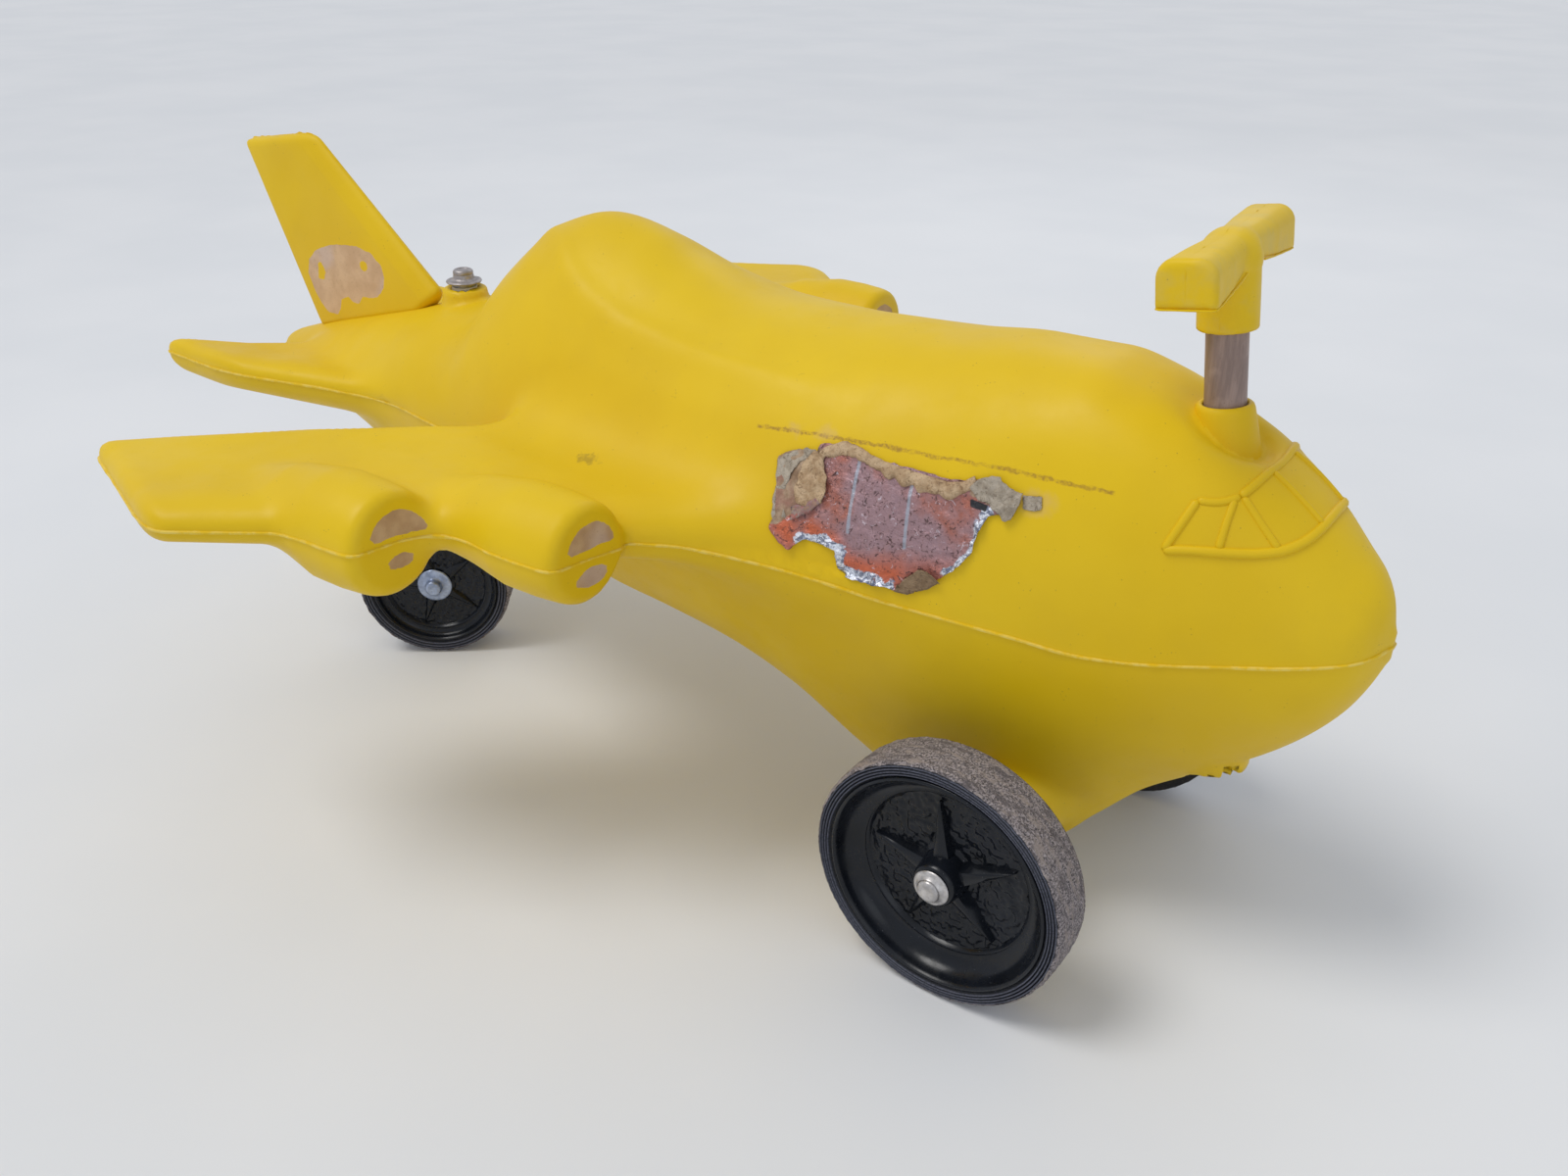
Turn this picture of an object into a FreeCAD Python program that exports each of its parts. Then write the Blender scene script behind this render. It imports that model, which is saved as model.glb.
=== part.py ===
import FreeCAD, Part
import math
import os
from FreeCAD import Vector

# Child's ride-on jumbo jet: hollow body, tail fin, turning handle, two front wheels
# and a twin-wheel caster. Millimetres, +X forward, +Y port, +Z up.
# Pieces are built with x measured from the front axle; write() moves them so that
# the origin sits on the ground under the centre of the whole toy.

# ---- driving dimensions -------------------------------------------------
AXLE_X = 273.0          # front axle ahead of the origin
WALL = 3.2              # wall of the hollow moulding
FRONT_R = 76.2          # front wheel radius
FRONT_W = 32.8          # front tyre width
HALF_TRACK = 137.2      # |y| of the outer face of a front wheel
AXLE_R = 5.55           # front axle radius
REAR_R = 59.4           # caster wheel radius
REAR_W = 17.5           # caster wheel width
REAR_AXLE_R = 4.75
STEM_X = -486.0         # caster stem
STEM_R = 5.55
STEM_TOP = 305.6
FOOT_Z = 137.0          # underside of the lower stem boss
BUSH_R = 9.0            # outside of the caster bushes
TRAIL = 47.0            # caster axle behind the stem
CASTER_REST = 38.0      # caster swung to the side at rest, degrees
TUBE_R = 10.25          # handle tube radius
TUBE_FOOT = Vector(98.7, 0, 116.6)   # tube axis at the underside of the nose
TUBE_TOP = Vector(71.9, 0, 327.0)    # tube axis at the top of the nose boss
HANDLE_REST = 4.5       # handle turned slightly at rest, degrees
RECESS = 18.5           # height of the recess under the nose above the foot of the tube
RUN = 0.08              # radial clearance of a turning fit
SEAT = 0.03             # clearance between parts that stay together
PRESS = 0.01            # radial clearance of a push-on cap or nut
BOSS_START = 20.0       # |y| where the front axle bosses start
BOSS_LENGTH = 56.0

ORIGIN = Vector(0, 0, 0)
PORT = Vector(0, 1, 0)
UP = Vector(0, 0, 1)
TUBE_AXIS = TUBE_TOP - TUBE_FOOT
TUBE_AXIS.normalize()
TUBE_FRONT = PORT.cross(TUBE_AXIS)   # square to the tube, pointing forward
STEM_BASE = Vector(STEM_X, 0, 0)

os.makedirs("parts", exist_ok=True)


# ---- shared helpers -----------------------------------------------------
def write(name, shape):
    shape = shape.copy()
    shape.translate(Vector(AXLE_X, 0, 0))
    if shape.ShapeType != "Solid" and len(shape.Solids) == 1:
        shape = shape.Solids[0]
    shape.exportStep("parts/%s.step" % name)


def fuse(shapes):
    return shapes[0].fuse(shapes[1:])


def largest(shape):
    return max(shape.Solids, key=lambda solid: solid.Volume)


def outward(solid):
    """Turn an inside-out solid the right way round."""
    if solid.Volume < 0:
        solid.reverse()
    return solid


def cylinder(radius, height, base, axis):
    return Part.makeCylinder(radius, height, base, axis)


def ring(radius, bore, height, base, axis):
    """Cylinder with a through bore."""
    hole = cylinder(bore, height + 10, base - axis * 5, axis)
    return cylinder(radius, height, base, axis).cut(hole)


def polygon_face(points):
    return Part.Face(Part.makePolygon(points + [points[0]]))


def slab(outline, y, thickness):
    """Plate with an (x, z) outline, from y towards port."""
    return polygon_face([Vector(x, y, z) for x, z in outline]).extrude(PORT * thickness)


def revolve(profile, base, axis, radial):
    """Solid of revolution; the profile is (distance along axis, radius)."""
    points = [base + axis * along + radial * radius for along, radius in profile]
    return polygon_face(points).revolve(base, axis, 360)


def closed_curve(points):
    curve = Part.BSplineCurve()
    curve.interpolate(Points=points, PeriodicFlag=True)
    return Part.Wire([curve.toShape()])


def loft(wires):
    return outward(Part.makeLoft(wires, True, False, False, 3))


def skin(rows):
    """Closed solid with flat ends; each row of cubic control points is a closed loop in x."""
    row_count, loop_count = len(rows), len(rows[0])
    surface = Part.BSplineSurface()
    surface.buildFromPolesMultsKnots(
        rows,
        [4] + [1] * (row_count - 4) + [4],
        [1] * (loop_count + 1),
        [float(i) for i in range(row_count - 2)],
        [float(i) for i in range(loop_count + 1)],
        False, True, 3, 3)
    side = surface.toShape()
    ends = [e for e in side.Edges if e.isClosed() and e.BoundBox.XLength < 1e-3]
    shell = Part.Compound([side] + [Part.Face(Part.Wire([e])) for e in ends])
    shell.sewShape()
    return outward(Part.Solid(shell.Shells[0]))


def loop_angles(count):
    return [2 * math.pi * (k + 0.5) / count for k in range(count)]


def signed_power(value, exponent):
    return math.copysign(abs(value) ** exponent, value)


def linear(x, xs, ys):
    """Straight lines through the stations, held level beyond both ends."""
    if x <= xs[0]:
        return ys[0]
    for i in range(len(xs) - 1):
        if x <= xs[i + 1]:
            t = (x - xs[i]) / float(xs[i + 1] - xs[i])
            return ys[i] + t * (ys[i + 1] - ys[i])
    return ys[-1]


def smooth(xs, ys, x):
    """Monotone cubic through the stations (xs ascending)."""
    count = len(xs)
    step = [xs[i + 1] - xs[i] for i in range(count - 1)]
    slope = [(ys[i + 1] - ys[i]) / step[i] for i in range(count - 1)]
    tangent = [slope[0]] + [0.0] * (count - 2) + [slope[-1]]
    for i in range(1, count - 1):
        if slope[i - 1] * slope[i] > 0:
            before = 2 * step[i] + step[i - 1]
            after = step[i] + 2 * step[i - 1]
            tangent[i] = (before + after) / (before / slope[i - 1] + after / slope[i])
    i = 0
    while i < count - 2 and x > xs[i + 1]:
        i += 1
    t = (x - xs[i]) / step[i]
    return ((2 * t ** 3 - 3 * t ** 2 + 1) * ys[i]
            + (t ** 3 - 2 * t ** 2 + t) * step[i] * tangent[i]
            + (-2 * t ** 3 + 3 * t ** 2) * ys[i + 1]
            + (t ** 3 - t ** 2) * step[i] * tangent[i + 1])


# ---- fuselage -----------------------------------------------------------
# x, half width, height of widest level, top, underside,
# upper and lower superellipse exponents
FUSELAGE = [
    (172, 4, 222, 232, 212, 2.0, 2.0),
    (168, 15, 221, 246, 200, 2.0, 2.0),
    (162, 25, 220, 257, 186, 2.0, 1.95),
    (152, 34, 219, 268, 170, 2.0, 1.9),
    (135, 44, 217, 284, 150, 2.3, 1.8),
    (111, 54, 214, 301, 128, 2.8, 1.65),
    (87, 62, 210, 313, 109, 3.2, 1.55),
    (62, 68, 206, 324, 88, 3.2, 1.45),
    (36, 73, 204, 334, 58, 3.0, 1.4),
    (9, 78, 206, 341, 28, 2.6, 1.35),
    (-30, 88, 210, 341, 19, 2.3, 1.3),
    (-78, 96, 214, 336, 20, 2.2, 1.3),
    (-118, 100, 218, 333, 42, 2.2, 1.4),
    (-160, 102, 221, 331, 72, 2.2, 1.5),
    (-207, 101, 225, 333, 96, 2.1, 1.7),
    (-259, 100, 227, 345, 107, 1.9, 1.8),
    (-298, 99, 228, 360, 114, 1.75, 1.9),
    (-335, 97, 228, 367, 120, 1.75, 1.9),
    (-368, 94, 227, 359, 125, 1.8, 2.0),
    (-398, 90, 226, 337, 130, 1.9, 2.0),
    (-424, 86, 225, 305, 134, 2.0, 2.0),
    (-450, 82, 225, 291, 138, 2.0, 2.0),
    (-486, 75, 225, 284, 143, 2.1, 2.0),
    (-530, 65, 225, 273, 152, 2.0, 2.0),
    (-580, 52, 224, 260, 166, 2.0, 2.0),
    (-630, 39, 221, 247, 180, 2.0, 2.0),
    (-675, 26, 218, 233, 195, 2.0, 2.0),
    (-700, 14, 216, 224, 206, 2.0, 2.0),
    (-707, 5, 215, 219, 211, 2.0, 2.0),
]
STATION_X, *STATION_SIZES = zip(*FUSELAGE[::-1])

# x of the control rows, tail to nose: even along the body, closer at both ends
SKIN_X = ([-704.0, -700.0, -694.0, -686.0, -676.0]
          + [-662.0 + 15.4 * k for k in range(52)]
          + [136.0, 146.0, 154.0, 160.0, 164.5, 168.0, 170.5])
CAVITY_ENDS = (-695, 165)   # the cavity keeps only the rows between these
POLE_SCALE = 1.008          # sets the control points out, as the surface runs inside them


def fuselage(inset):
    """Body of the jet; a positive inset moves the skin inwards, a negative one outwards."""
    stations = SKIN_X
    if inset > 1:
        stations = [x for x in stations if CAVITY_ENDS[0] < x < CAVITY_ENDS[1]]
    rows = []
    for x in stations:
        half, level, top, under, upper_n, lower_n = [
            smooth(STATION_X, sizes, x) for sizes in STATION_SIZES]
        # the pointed underside needs a deeper inset to keep its wall
        deepen = 1.5 if inset > 0 and lower_n < 1.7 else 1.0
        width = (half - inset) * POLE_SCALE
        rise = (top - level - inset) * POLE_SCALE
        drop = (level - under - inset * deepen) * POLE_SCALE
        row = []
        for a in loop_angles(28):
            n, height = (upper_n, rise) if math.sin(a) > 0 else (lower_n, drop)
            row.append(Vector(x, width * signed_power(math.cos(a), 2.0 / n),
                              level + height * signed_power(math.sin(a), 2.0 / n)))
        rows.append(row)
    return skin(rows)


# ---- wings, stabilisers and engine pods ---------------------------------
# |y| of the lofted sections, for the outside and for the cavity
WING_Y = [30, 70, 100, 140, 187, 241, 271, 289, 303, 312, 317]
WING_CAVITY_Y = [30, 70, 100, 140, 187, 241, 264, 284, 298]
STAB_Y = [20, 42, 62, 82, 98, 108, 114, 117.5]
STAB_CAVITY_Y = [20, 42, 62, 82, 98, 107]
# engine pods: x of the front face, |y| and z of the axis
PODS = [(-279.0, 241.0, 243.0), (-189.0, 187.0, 240.0)]


def wing_section(y):
    """|y|, leading x, trailing x, centre z, rise at lead and trail, drop at lead and trail."""
    lead = -116.1 if y < 90 else -128 - (y - 100) * 256 / 215.0
    trail = linear(y, [88, 271, 319], [-326, -522, -384])
    centre_z = linear(y, [60, 90, 140, 187, 241, 316], [221, 223, 231, 238, 243, 248])
    taper = linear(y, [80, 160, 271, 289, 303, 312, 317],
                   [1.15, 1.0, 0.86, 0.79, 0.7, 0.53, 0.27])
    rise_lead = linear(y, [80, 130, 170, 241, 319], [24, 22, 19, 18, 17.5])
    rise_trail = linear(y, [80, 140, 187, 241, 319], [30, 28, 23, 17, 9])
    return (y, lead, trail, centre_z,
            rise_lead * taper, rise_trail * taper, 15 * taper, 9 * taper)


def stab_section(y):
    """Same columns as wing_section."""
    lead = -505 - max(y - 72, 0) * 117 / 47.0
    trail = -640 - max(y - 42, 0) * 70 / 66.0
    if y > 98:
        trail = linear(y, [98, 108, 114, 117.5], [-699, -706, -706, -701])
    centre_z = linear(y, [30, 72, 118], [225, 227, 234.5])
    taper = linear(y, [20, 82, 98, 108, 114, 117.5], [1.0, 1.0, 0.95, 0.8, 0.6, 0.3])
    drop = linear(y, [60, 118], [21, 14])
    return (y, lead, trail, centre_z, 12 * taper, 8 * taper, drop * taper, drop * 0.6 * taper)


def blade(side, sections, inset):
    """Wing or stabiliser lofted outwards through rounded sections."""
    wires = []
    for y, lead, trail, centre_z, rise_lead, rise_trail, drop_lead, drop_trail in sections:
        lead -= inset * 1.6
        trail += inset * 1.6
        middle, half_chord = 0.5 * (lead + trail), 0.5 * (lead - trail)
        points = []
        for a in loop_angles(24):
            across = signed_power(math.cos(a), 2.0 / 3.2)
            up = signed_power(math.sin(a), 2.0 / 3.2)
            t = 0.5 * (1 - across)
            if up > 0:
                height = rise_lead + (rise_trail - rise_lead) * t
            else:
                height = drop_lead + (drop_trail - drop_lead) * t
            points.append(Vector(middle + half_chord * across, side * y,
                                 centre_z + (height - inset) * up))
        wires.append(closed_curve(points))
    return loft(wires)


def pod(side, place, inset):
    """Engine pod turned about a fore-and-aft axis, tapering to the rear."""
    front_x, y, z = place
    base, rearward = Vector(front_x, side * y, z), Vector(-1, 0, 0)
    end = 138 - 4 * inset
    profile = [   # distance behind the front face, radius
        (inset, 0), (inset, 21 - inset * 0.5), (2.0 + inset, 25.0 - inset * 0.8),
        (7 + inset, 28.2 - inset), (24, 30.0 - inset), (45, 30.2 - inset),
        (80, 26.4 - inset), (112, 17 - inset), (end, max(6 - inset, 1.5)), (end, 0)]
    points = [base + rearward * along + UP * radius for along, radius in profile]
    curve = Part.BSplineCurve()
    curve.interpolate(points[1:-1])
    wire = Part.Wire([Part.makeLine(points[0], points[1]), curve.toShape(),
                      Part.makeLine(points[-2], points[-1]),
                      Part.makeLine(points[-1], points[0])])
    return Part.Face(wire).revolve(base, rearward, 360)


def airframe(inset, wing_y, stab_y):
    """Fuselage, wings, stabilisers and pods as separate overlapping solids."""
    shapes = [fuselage(inset)]
    for side in (1, -1):
        shapes.append(blade(side, [wing_section(y) for y in wing_y], inset))
        shapes.append(blade(side, [stab_section(y) for y in stab_y], inset))
        shapes += [pod(side, place, inset) for place in PODS]
    return shapes


# ---- body shell ---------------------------------------------------------
def fin_plug(grow):
    """Tongue under the fin that sits in a slot in the body."""
    front, rear = -548 + grow, -640 - grow
    outline = [(front, 252 - grow), (front, 273), (rear, 249), (rear, 228 - grow)]
    return slab(outline, -4.5 - grow, 9 + 2 * grow)


def body_shell():
    nose_boss_height = 38.0
    nose_boss = Part.makeCone(20.5, 14.0, nose_boss_height,
                              TUBE_TOP - TUBE_AXIS * nose_boss_height, TUBE_AXIS)
    foot_boss = cylinder(15.4, 31.0, TUBE_FOOT + TUBE_AXIS * 5.0, TUBE_AXIS)
    stem_boss = Part.makeCone(19.0, 15.8, 35.0, Vector(STEM_X, 0, 260), UP)
    stem_foot = cylinder(21.0, 18.0, Vector(STEM_X, 0, FOOT_Z), UP)
    axle_bosses = [Part.makeCone(30.0, 15.0, BOSS_LENGTH,
                                 Vector(0, side * BOSS_START, FRONT_R), PORT * side)
                   for side in (1, -1)]
    body = fuse(airframe(0, WING_Y, STAB_Y)
                + [nose_boss, foot_boss, stem_boss, stem_foot] + axle_bosses)

    # the bosses stay solid round their bores inside the cavity
    keep = [cylinder(14.0, 400, TUBE_FOOT - TUBE_AXIS * 20, TUBE_AXIS).common(nose_boss),
            cylinder(16.4, 52.0, TUBE_FOOT - TUBE_AXIS * 16.0, TUBE_AXIS),
            cylinder(18.5, 34, Vector(STEM_X, 0, 257), UP),
            stem_foot] + axle_bosses
    cavity = fuse(airframe(WALL, WING_CAVITY_Y, STAB_CAVITY_Y))
    body = body.cut(cavity.cut(fuse(keep)))

    body = body.cut(cylinder(TUBE_R + RUN, 420, TUBE_FOOT - TUBE_AXIS * 60, TUBE_AXIS))
    # recess from below that hides the washer and the push-on nut
    body = body.cut(cylinder(13.0, 30.0 + RECESS, TUBE_FOOT - TUBE_AXIS * 30, TUBE_AXIS))
    body = body.cut(cylinder(BUSH_R + SEAT, 300, Vector(STEM_X, 0, 100), UP))
    body = body.cut(cylinder(AXLE_R + SEAT, 400, Vector(0, -200, FRONT_R), PORT))
    return largest(body.cut(fin_plug(SEAT)))


# ---- tail fin -----------------------------------------------------------
# root and top chords: front (x, z), rear (x, z), half thickness
FIN_CHORDS = [
    ((-517.0, 272.0), (-657.0, 236.0), 11.0),
    ((-641.0, 387.5), (-716.0, 375.5), 7.0),
]
FIN_WALL = 2.6
FIN_FLOOR = 4.0         # gap between the body skin and the hollow of the fin
# region above the hollow, kept solid to close the top: (x, z)
FIN_TOP = [(-760, 369.5), (-620, 388.5), (-620, 420), (-760, 420)]


def fin_loft(inset):
    wires = []
    for (front_x, front_z), (rear_x, rear_z), half in FIN_CHORDS:
        chord = math.hypot(front_x - rear_x, front_z - rear_z)
        points = []
        for a in loop_angles(20):
            along = 0.5 * (1 + signed_power(math.cos(a), 2.0 / 3.0))
            along = (inset * 1.5 + along * (chord - 3.0 * inset)) / chord
            points.append(Vector(rear_x + (front_x - rear_x) * along,
                                 (half - inset) * signed_power(math.sin(a), 2.0 / 2.6),
                                 rear_z + (front_z - rear_z) * along))
        wires.append(closed_curve(points))
    return loft(wires)


def tail_fin():
    fin = largest(fin_loft(0).cut(fuselage(-SEAT)))
    hollow = largest(fin_loft(FIN_WALL).cut(fuselage(-FIN_FLOOR)))
    fin = fin.cut(hollow.cut(slab(FIN_TOP, -20, 40)))
    return largest(fin.fuse(fin_plug(0)))


write("body_shell", body_shell())
write("tail_fin", tail_fin())

# ---- handle -------------------------------------------------------------
TUBE_UP = 72.0          # tube above the nose boss
TUBE_BELOW = 11.8       # tube below the top of the foot washer
TUBE_WALL = 1.6
WASHER_TOP = TUBE_FOOT + TUBE_AXIS * (RECESS - 0.15)
WASHER_T = 1.2
SOCKET_R = 15.4
PIN_R = 2.4
PIN_UP = 48             # cross pin above the nose boss
# grip arm, middle to tip: distance sideways, half width, bottom, top, corner size
GRIP_SECTIONS = [
    (4, 10.5, 66.0, 84.0, 7.0),
    (40, 13.0, 63.0, 86.5, 8.5),
    (68, 13.8, 61.5, 87.0, 9.0),
    (71, 11.8, 63.5, 85.0, 8.0),
]
# push-on nut: distance up the tube, radius
TUBE_NUT = [(0, TUBE_R + 0.02), (0, 12.5), (-1.0, 12.5), (-3.0, 11.8), (-9.0, 11.8),
            (-11.0, 11.0), (-12.6, 9.0), (-12.6, 8.0), (-11.6, 8.0), (-11.6, 8.6),
            (-11.0, TUBE_R + 0.02)]


def on_tube(forward, port, up):
    """Point measured from the top of the nose boss, in the frame of the tube."""
    return TUBE_TOP + TUBE_FRONT * forward + PORT * port + TUBE_AXIS * up


def pin_cylinder(radius, length, start):
    return cylinder(radius, length, on_tube(start, 0, PIN_UP), TUBE_FRONT * -1.0)


def handle_tube(pin_hole):
    tube = cylinder(TUBE_R, (TUBE_TOP - WASHER_TOP).Length + TUBE_BELOW + TUBE_UP,
                    WASHER_TOP - TUBE_AXIS * TUBE_BELOW, TUBE_AXIS)
    bore = cylinder(TUBE_R - TUBE_WALL, (TUBE_TOP - TUBE_FOOT).Length + 20.0 + TUBE_UP,
                    TUBE_FOOT - TUBE_AXIS * 16.0, TUBE_AXIS)
    return tube.cut(bore).cut(pin_hole)


def grip_section(side, port, half, bottom, top, corner):
    """Flat-bottomed outline with rounded upper corners."""
    outline = [(half, bottom), (half, top - corner),
               (half - corner * 0.3, top - corner * 0.3), (half - corner, top)]
    outline += [(-forward, up) for forward, up in reversed(outline)]
    points = [on_tube(forward, side * port, up) for forward, up in outline]
    return Part.makePolygon(points + [points[0]])


def handle_grip(pin_hole):
    socket = cylinder(SOCKET_R, 41.4, on_tube(0, 0, 37.0), TUBE_AXIS)
    dome = Part.makeSphere(SOCKET_R, on_tube(0, 0, 70.0))
    dome = dome.fuse(cylinder(SOCKET_R, 4, on_tube(0, 0, 68), TUBE_AXIS))
    arms = []
    for side in (1, -1):
        wires = [grip_section(side, *sizes) for sizes in GRIP_SECTIONS]
        arms.append(Part.makeLoft(wires[:3], True, True))
        # the tip is lofted from a fresh copy of the third section
        tip = [grip_section(side, *sizes) for sizes in GRIP_SECTIONS[2:]]
        arms.append(Part.makeLoft(tip, True, True))
    grip = fuse([socket, dome] + arms)
    grip = grip.cut(cylinder(TUBE_R + SEAT, 38.0, on_tube(0, 0, 34.4), TUBE_AXIS))
    return grip.cut(pin_hole)


def tube_foot_washer():
    return ring(12.6, TUBE_R + RUN, WASHER_T, WASHER_TOP - TUBE_AXIS * WASHER_T, TUBE_AXIS)


def tube_push_nut(tube):
    nut = revolve(TUBE_NUT, WASHER_TOP - TUBE_AXIS * 1.4, TUBE_AXIS, TUBE_FRONT)
    return largest(nut.cut(tube))


pin_hole = pin_cylinder(PIN_R + SEAT, 43, 13.2)
tube = handle_tube(pin_hole)
for name, shape in (("handle_grip", handle_grip(pin_hole)),
                    ("handle_tube", tube),
                    ("handle_cross_pin", pin_cylinder(PIN_R, 28.0, 13.0)),
                    ("tube_foot_washer", tube_foot_washer()),
                    ("tube_push_nut", tube_push_nut(tube))):
    turned = shape.copy()
    turned.rotate(TUBE_TOP, TUBE_AXIS, HANDLE_REST)
    write(name, turned)

# ---- wheels -------------------------------------------------------------
SPOKES = 5
CAP_GAP = 0.35          # between hub and cap
CAP_WALL = 1.1          # end wall of a cap
AXLE_END_GAP = 0.3      # between axle end and cap


class Wheel:
    """Wheel on the Y axis through the origin. Its profiles are (|y|, radius)."""

    def __init__(self, radius, rim_r, width, face, hub_r, axle_r, web_depth,
                 split, hub_inset, cap_brim, dome_r, cap_height):
        self.radius = radius
        self.rim_r = rim_r                  # inside of the tyre
        self.seat_r = rim_r - SEAT          # outside of both rim halves
        self.face = face                    # outer edge of the tread
        self.back = face - width            # inner edge of the tread
        self.hub_r = hub_r
        self.axle_r = axle_r
        self.bore = axle_r + RUN
        self.web_depth = web_depth          # recess of the outer disc
        self.web = face - web_depth
        self.mid = face - width * split     # joint between the rim halves
        self.hub_face = face - hub_inset
        self.cap_face = self.hub_face + CAP_GAP
        self.cap_brim = cap_brim
        self.dome_r = dome_r
        self.cap_height = cap_height

    def tyre(self, out):
        radius, rim_r, face, back = self.radius, self.rim_r, self.face, self.back
        return revolve([
            (face - 3.0, rim_r), (face, rim_r + 1.5), (face, radius - 2.6),
            (face - 0.9, radius - 1.0), (face - 3.0, radius), (back + 4.0, radius),
            (back + 1.4, radius - 1.0), (back, radius - 3.2), (back, rim_r + 1.5),
            (back + 3.0, rim_r)], ORIGIN, out, UP)

    def spoke(self, out, angle):
        radial = Vector(math.sin(angle), 0, math.cos(angle))
        across = Vector(math.cos(angle), 0, -math.sin(angle))
        root = radial * (self.hub_r - 1) + out * (self.web - 1.0)
        tip = radial * (self.seat_r - 11.0) + out * (self.web - 1.0)
        root_half, tip_half = across * (self.hub_r * 0.62), across * 2.0
        face = polygon_face([root + root_half, tip + tip_half, tip - tip_half, root - root_half])
        return face.extrude(out * min(6.5, self.web_depth - 4.9))

    def rim(self, out):
        """Outer half: barrel, recessed disc, hub and a star of spokes."""
        seat_r, hub_r, bore = self.seat_r, self.hub_r, self.bore
        face, web, mid = self.face, self.web, self.mid
        star = revolve([
            (mid + SEAT, bore), (mid + SEAT, seat_r), (face - 0.8, seat_r),
            (face - 0.8, seat_r - 3.6), (web + 4.5, seat_r - 8.0), (web, seat_r - 13.0),
            (web, hub_r + 3.0), (self.hub_face, hub_r), (self.hub_face, bore)],
            ORIGIN, out, UP)
        star = star.cut(revolve([
            (mid - 0.01, hub_r), (mid - 0.01, seat_r - 3.5),
            (web - 2.8, seat_r - 15.0), (web - 2.8, hub_r)], ORIGIN, out, UP))
        star = star.fuse([self.spoke(out, 2 * math.pi * k / SPOKES) for k in range(SPOKES)])
        return star.cut(revolve([
            (face - 40, 0), (face - 40, bore), (face + 5, bore), (face + 5, 0)],
            ORIGIN, out, UP))

    def inner(self, out):
        """Inner half: plain dished disc with a hub."""
        seat_r, hub_r, bore = self.seat_r, self.hub_r, self.bore
        back, mid = self.back, self.mid
        return revolve([
            (mid - SEAT, bore), (mid - SEAT, hub_r), (mid - 3.0, hub_r),
            (mid - 3.0, seat_r - 4.5), (mid - SEAT, seat_r - 4.5), (mid - SEAT, seat_r),
            (back + 0.8, seat_r), (back + 0.8, seat_r - 3.2), (mid - 6.0, seat_r - 5.5),
            (mid - 6.0, hub_r + 3.0), (back + 0.5, hub_r), (back + 0.5, bore)],
            ORIGIN, out, UP)

    def cap(self, out):
        """Push-on cap: brim facing the hub, hollow dome outside."""
        face, dome_r, bore = self.cap_face, self.dome_r, self.axle_r + PRESS
        end = face + self.cap_height
        return revolve([
            (face, bore), (face, self.cap_brim), (face + 0.9, self.cap_brim),
            (face + 2.2, dome_r + 1.2), (face + 3.0, dome_r), (end - 1.5, dome_r),
            (end, dome_r - 1.6), (end, 0), (end - CAP_WALL, 0), (end - CAP_WALL, bore)],
            ORIGIN, out, UP)

    def pieces(self, side):
        out = PORT * side
        return [("tyre", self.tyre(out)), ("rim", self.rim(out)),
                ("inner", self.inner(out)), ("cap", self.cap(out))]

    def axle(self, centre):
        half = self.cap_face + self.cap_height - CAP_WALL - AXLE_END_GAP
        return cylinder(self.axle_r, 2 * half, centre - PORT * half, PORT)


SIDES = ((1, "left"), (-1, "right"))

front_wheel = Wheel(
    radius=FRONT_R, rim_r=66.4, width=FRONT_W, face=HALF_TRACK, hub_r=12.5,
    axle_r=AXLE_R, web_depth=17.0, split=0.72, hub_inset=0.9,
    cap_brim=10.5, dome_r=6.9, cap_height=6.0)
front_centre = Vector(0, 0, FRONT_R)


def front_spacer(side):
    """Sleeve on the axle between the body boss and the wheel."""
    start = BOSS_START + BOSS_LENGTH + SEAT
    end = HALF_TRACK - FRONT_W + 0.1
    bore, radius = AXLE_R + SEAT, 9.0
    return revolve([(start, bore), (start, radius), (end, radius), (end, bore)],
                   ORIGIN, PORT * side, UP)


for side, tag in SIDES:
    for kind, shape in front_wheel.pieces(side) + [("spacer", front_spacer(side))]:
        shape.translate(front_centre)
        write("front_%s_%s" % (kind, tag), shape)
write("front_axle", front_wheel.axle(front_centre))

# ---- caster -------------------------------------------------------------
THRUST_T = 1.2                          # thrust washer thickness
PLATE_TOP = FOOT_Z - THRUST_T - 0.3     # top of the yoke plate
STEM_BOTTOM = PLATE_TOP - 16.0
WEB_HALF = 3.6                          # half thickness of the yoke web
# side outline of the web, stem at x = 0: (x, z)
YOKE_WEB = [
    (14, PLATE_TOP - 0.5), (14, PLATE_TOP - 7.0), (-TRAIL + 13, REAR_R - 3.0),
    (-TRAIL + 6, REAR_R - 11.0), (-TRAIL - 6, REAR_R - 11.0), (-TRAIL - 13, REAR_R - 2.0),
    (-TRAIL - 10, REAR_R + 14.0), (-18, PLATE_TOP - 0.5)]
# push-on nut over the stem: distance up, radius
STEM_NUT = [(0, STEM_R + PRESS), (0, 8.0), (0.5, 10.8), (1.2, 12.6), (2.0, 12.6),
            (2.7, 9.4), (3.5, 7.6), (8.2, 7.2), (9.4, 6.4), (9.8, 4.8), (9.8, 0),
            (8.4, 0), (8.4, STEM_R + PRESS)]


def write_caster(name, shape):
    """Write a piece built straight behind a stem at x = 0, swung to the rest angle."""
    swung = shape.copy()
    swung.translate(STEM_BASE)
    swung.rotate(STEM_BASE, UP, CASTER_REST)
    write(name, swung)


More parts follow.
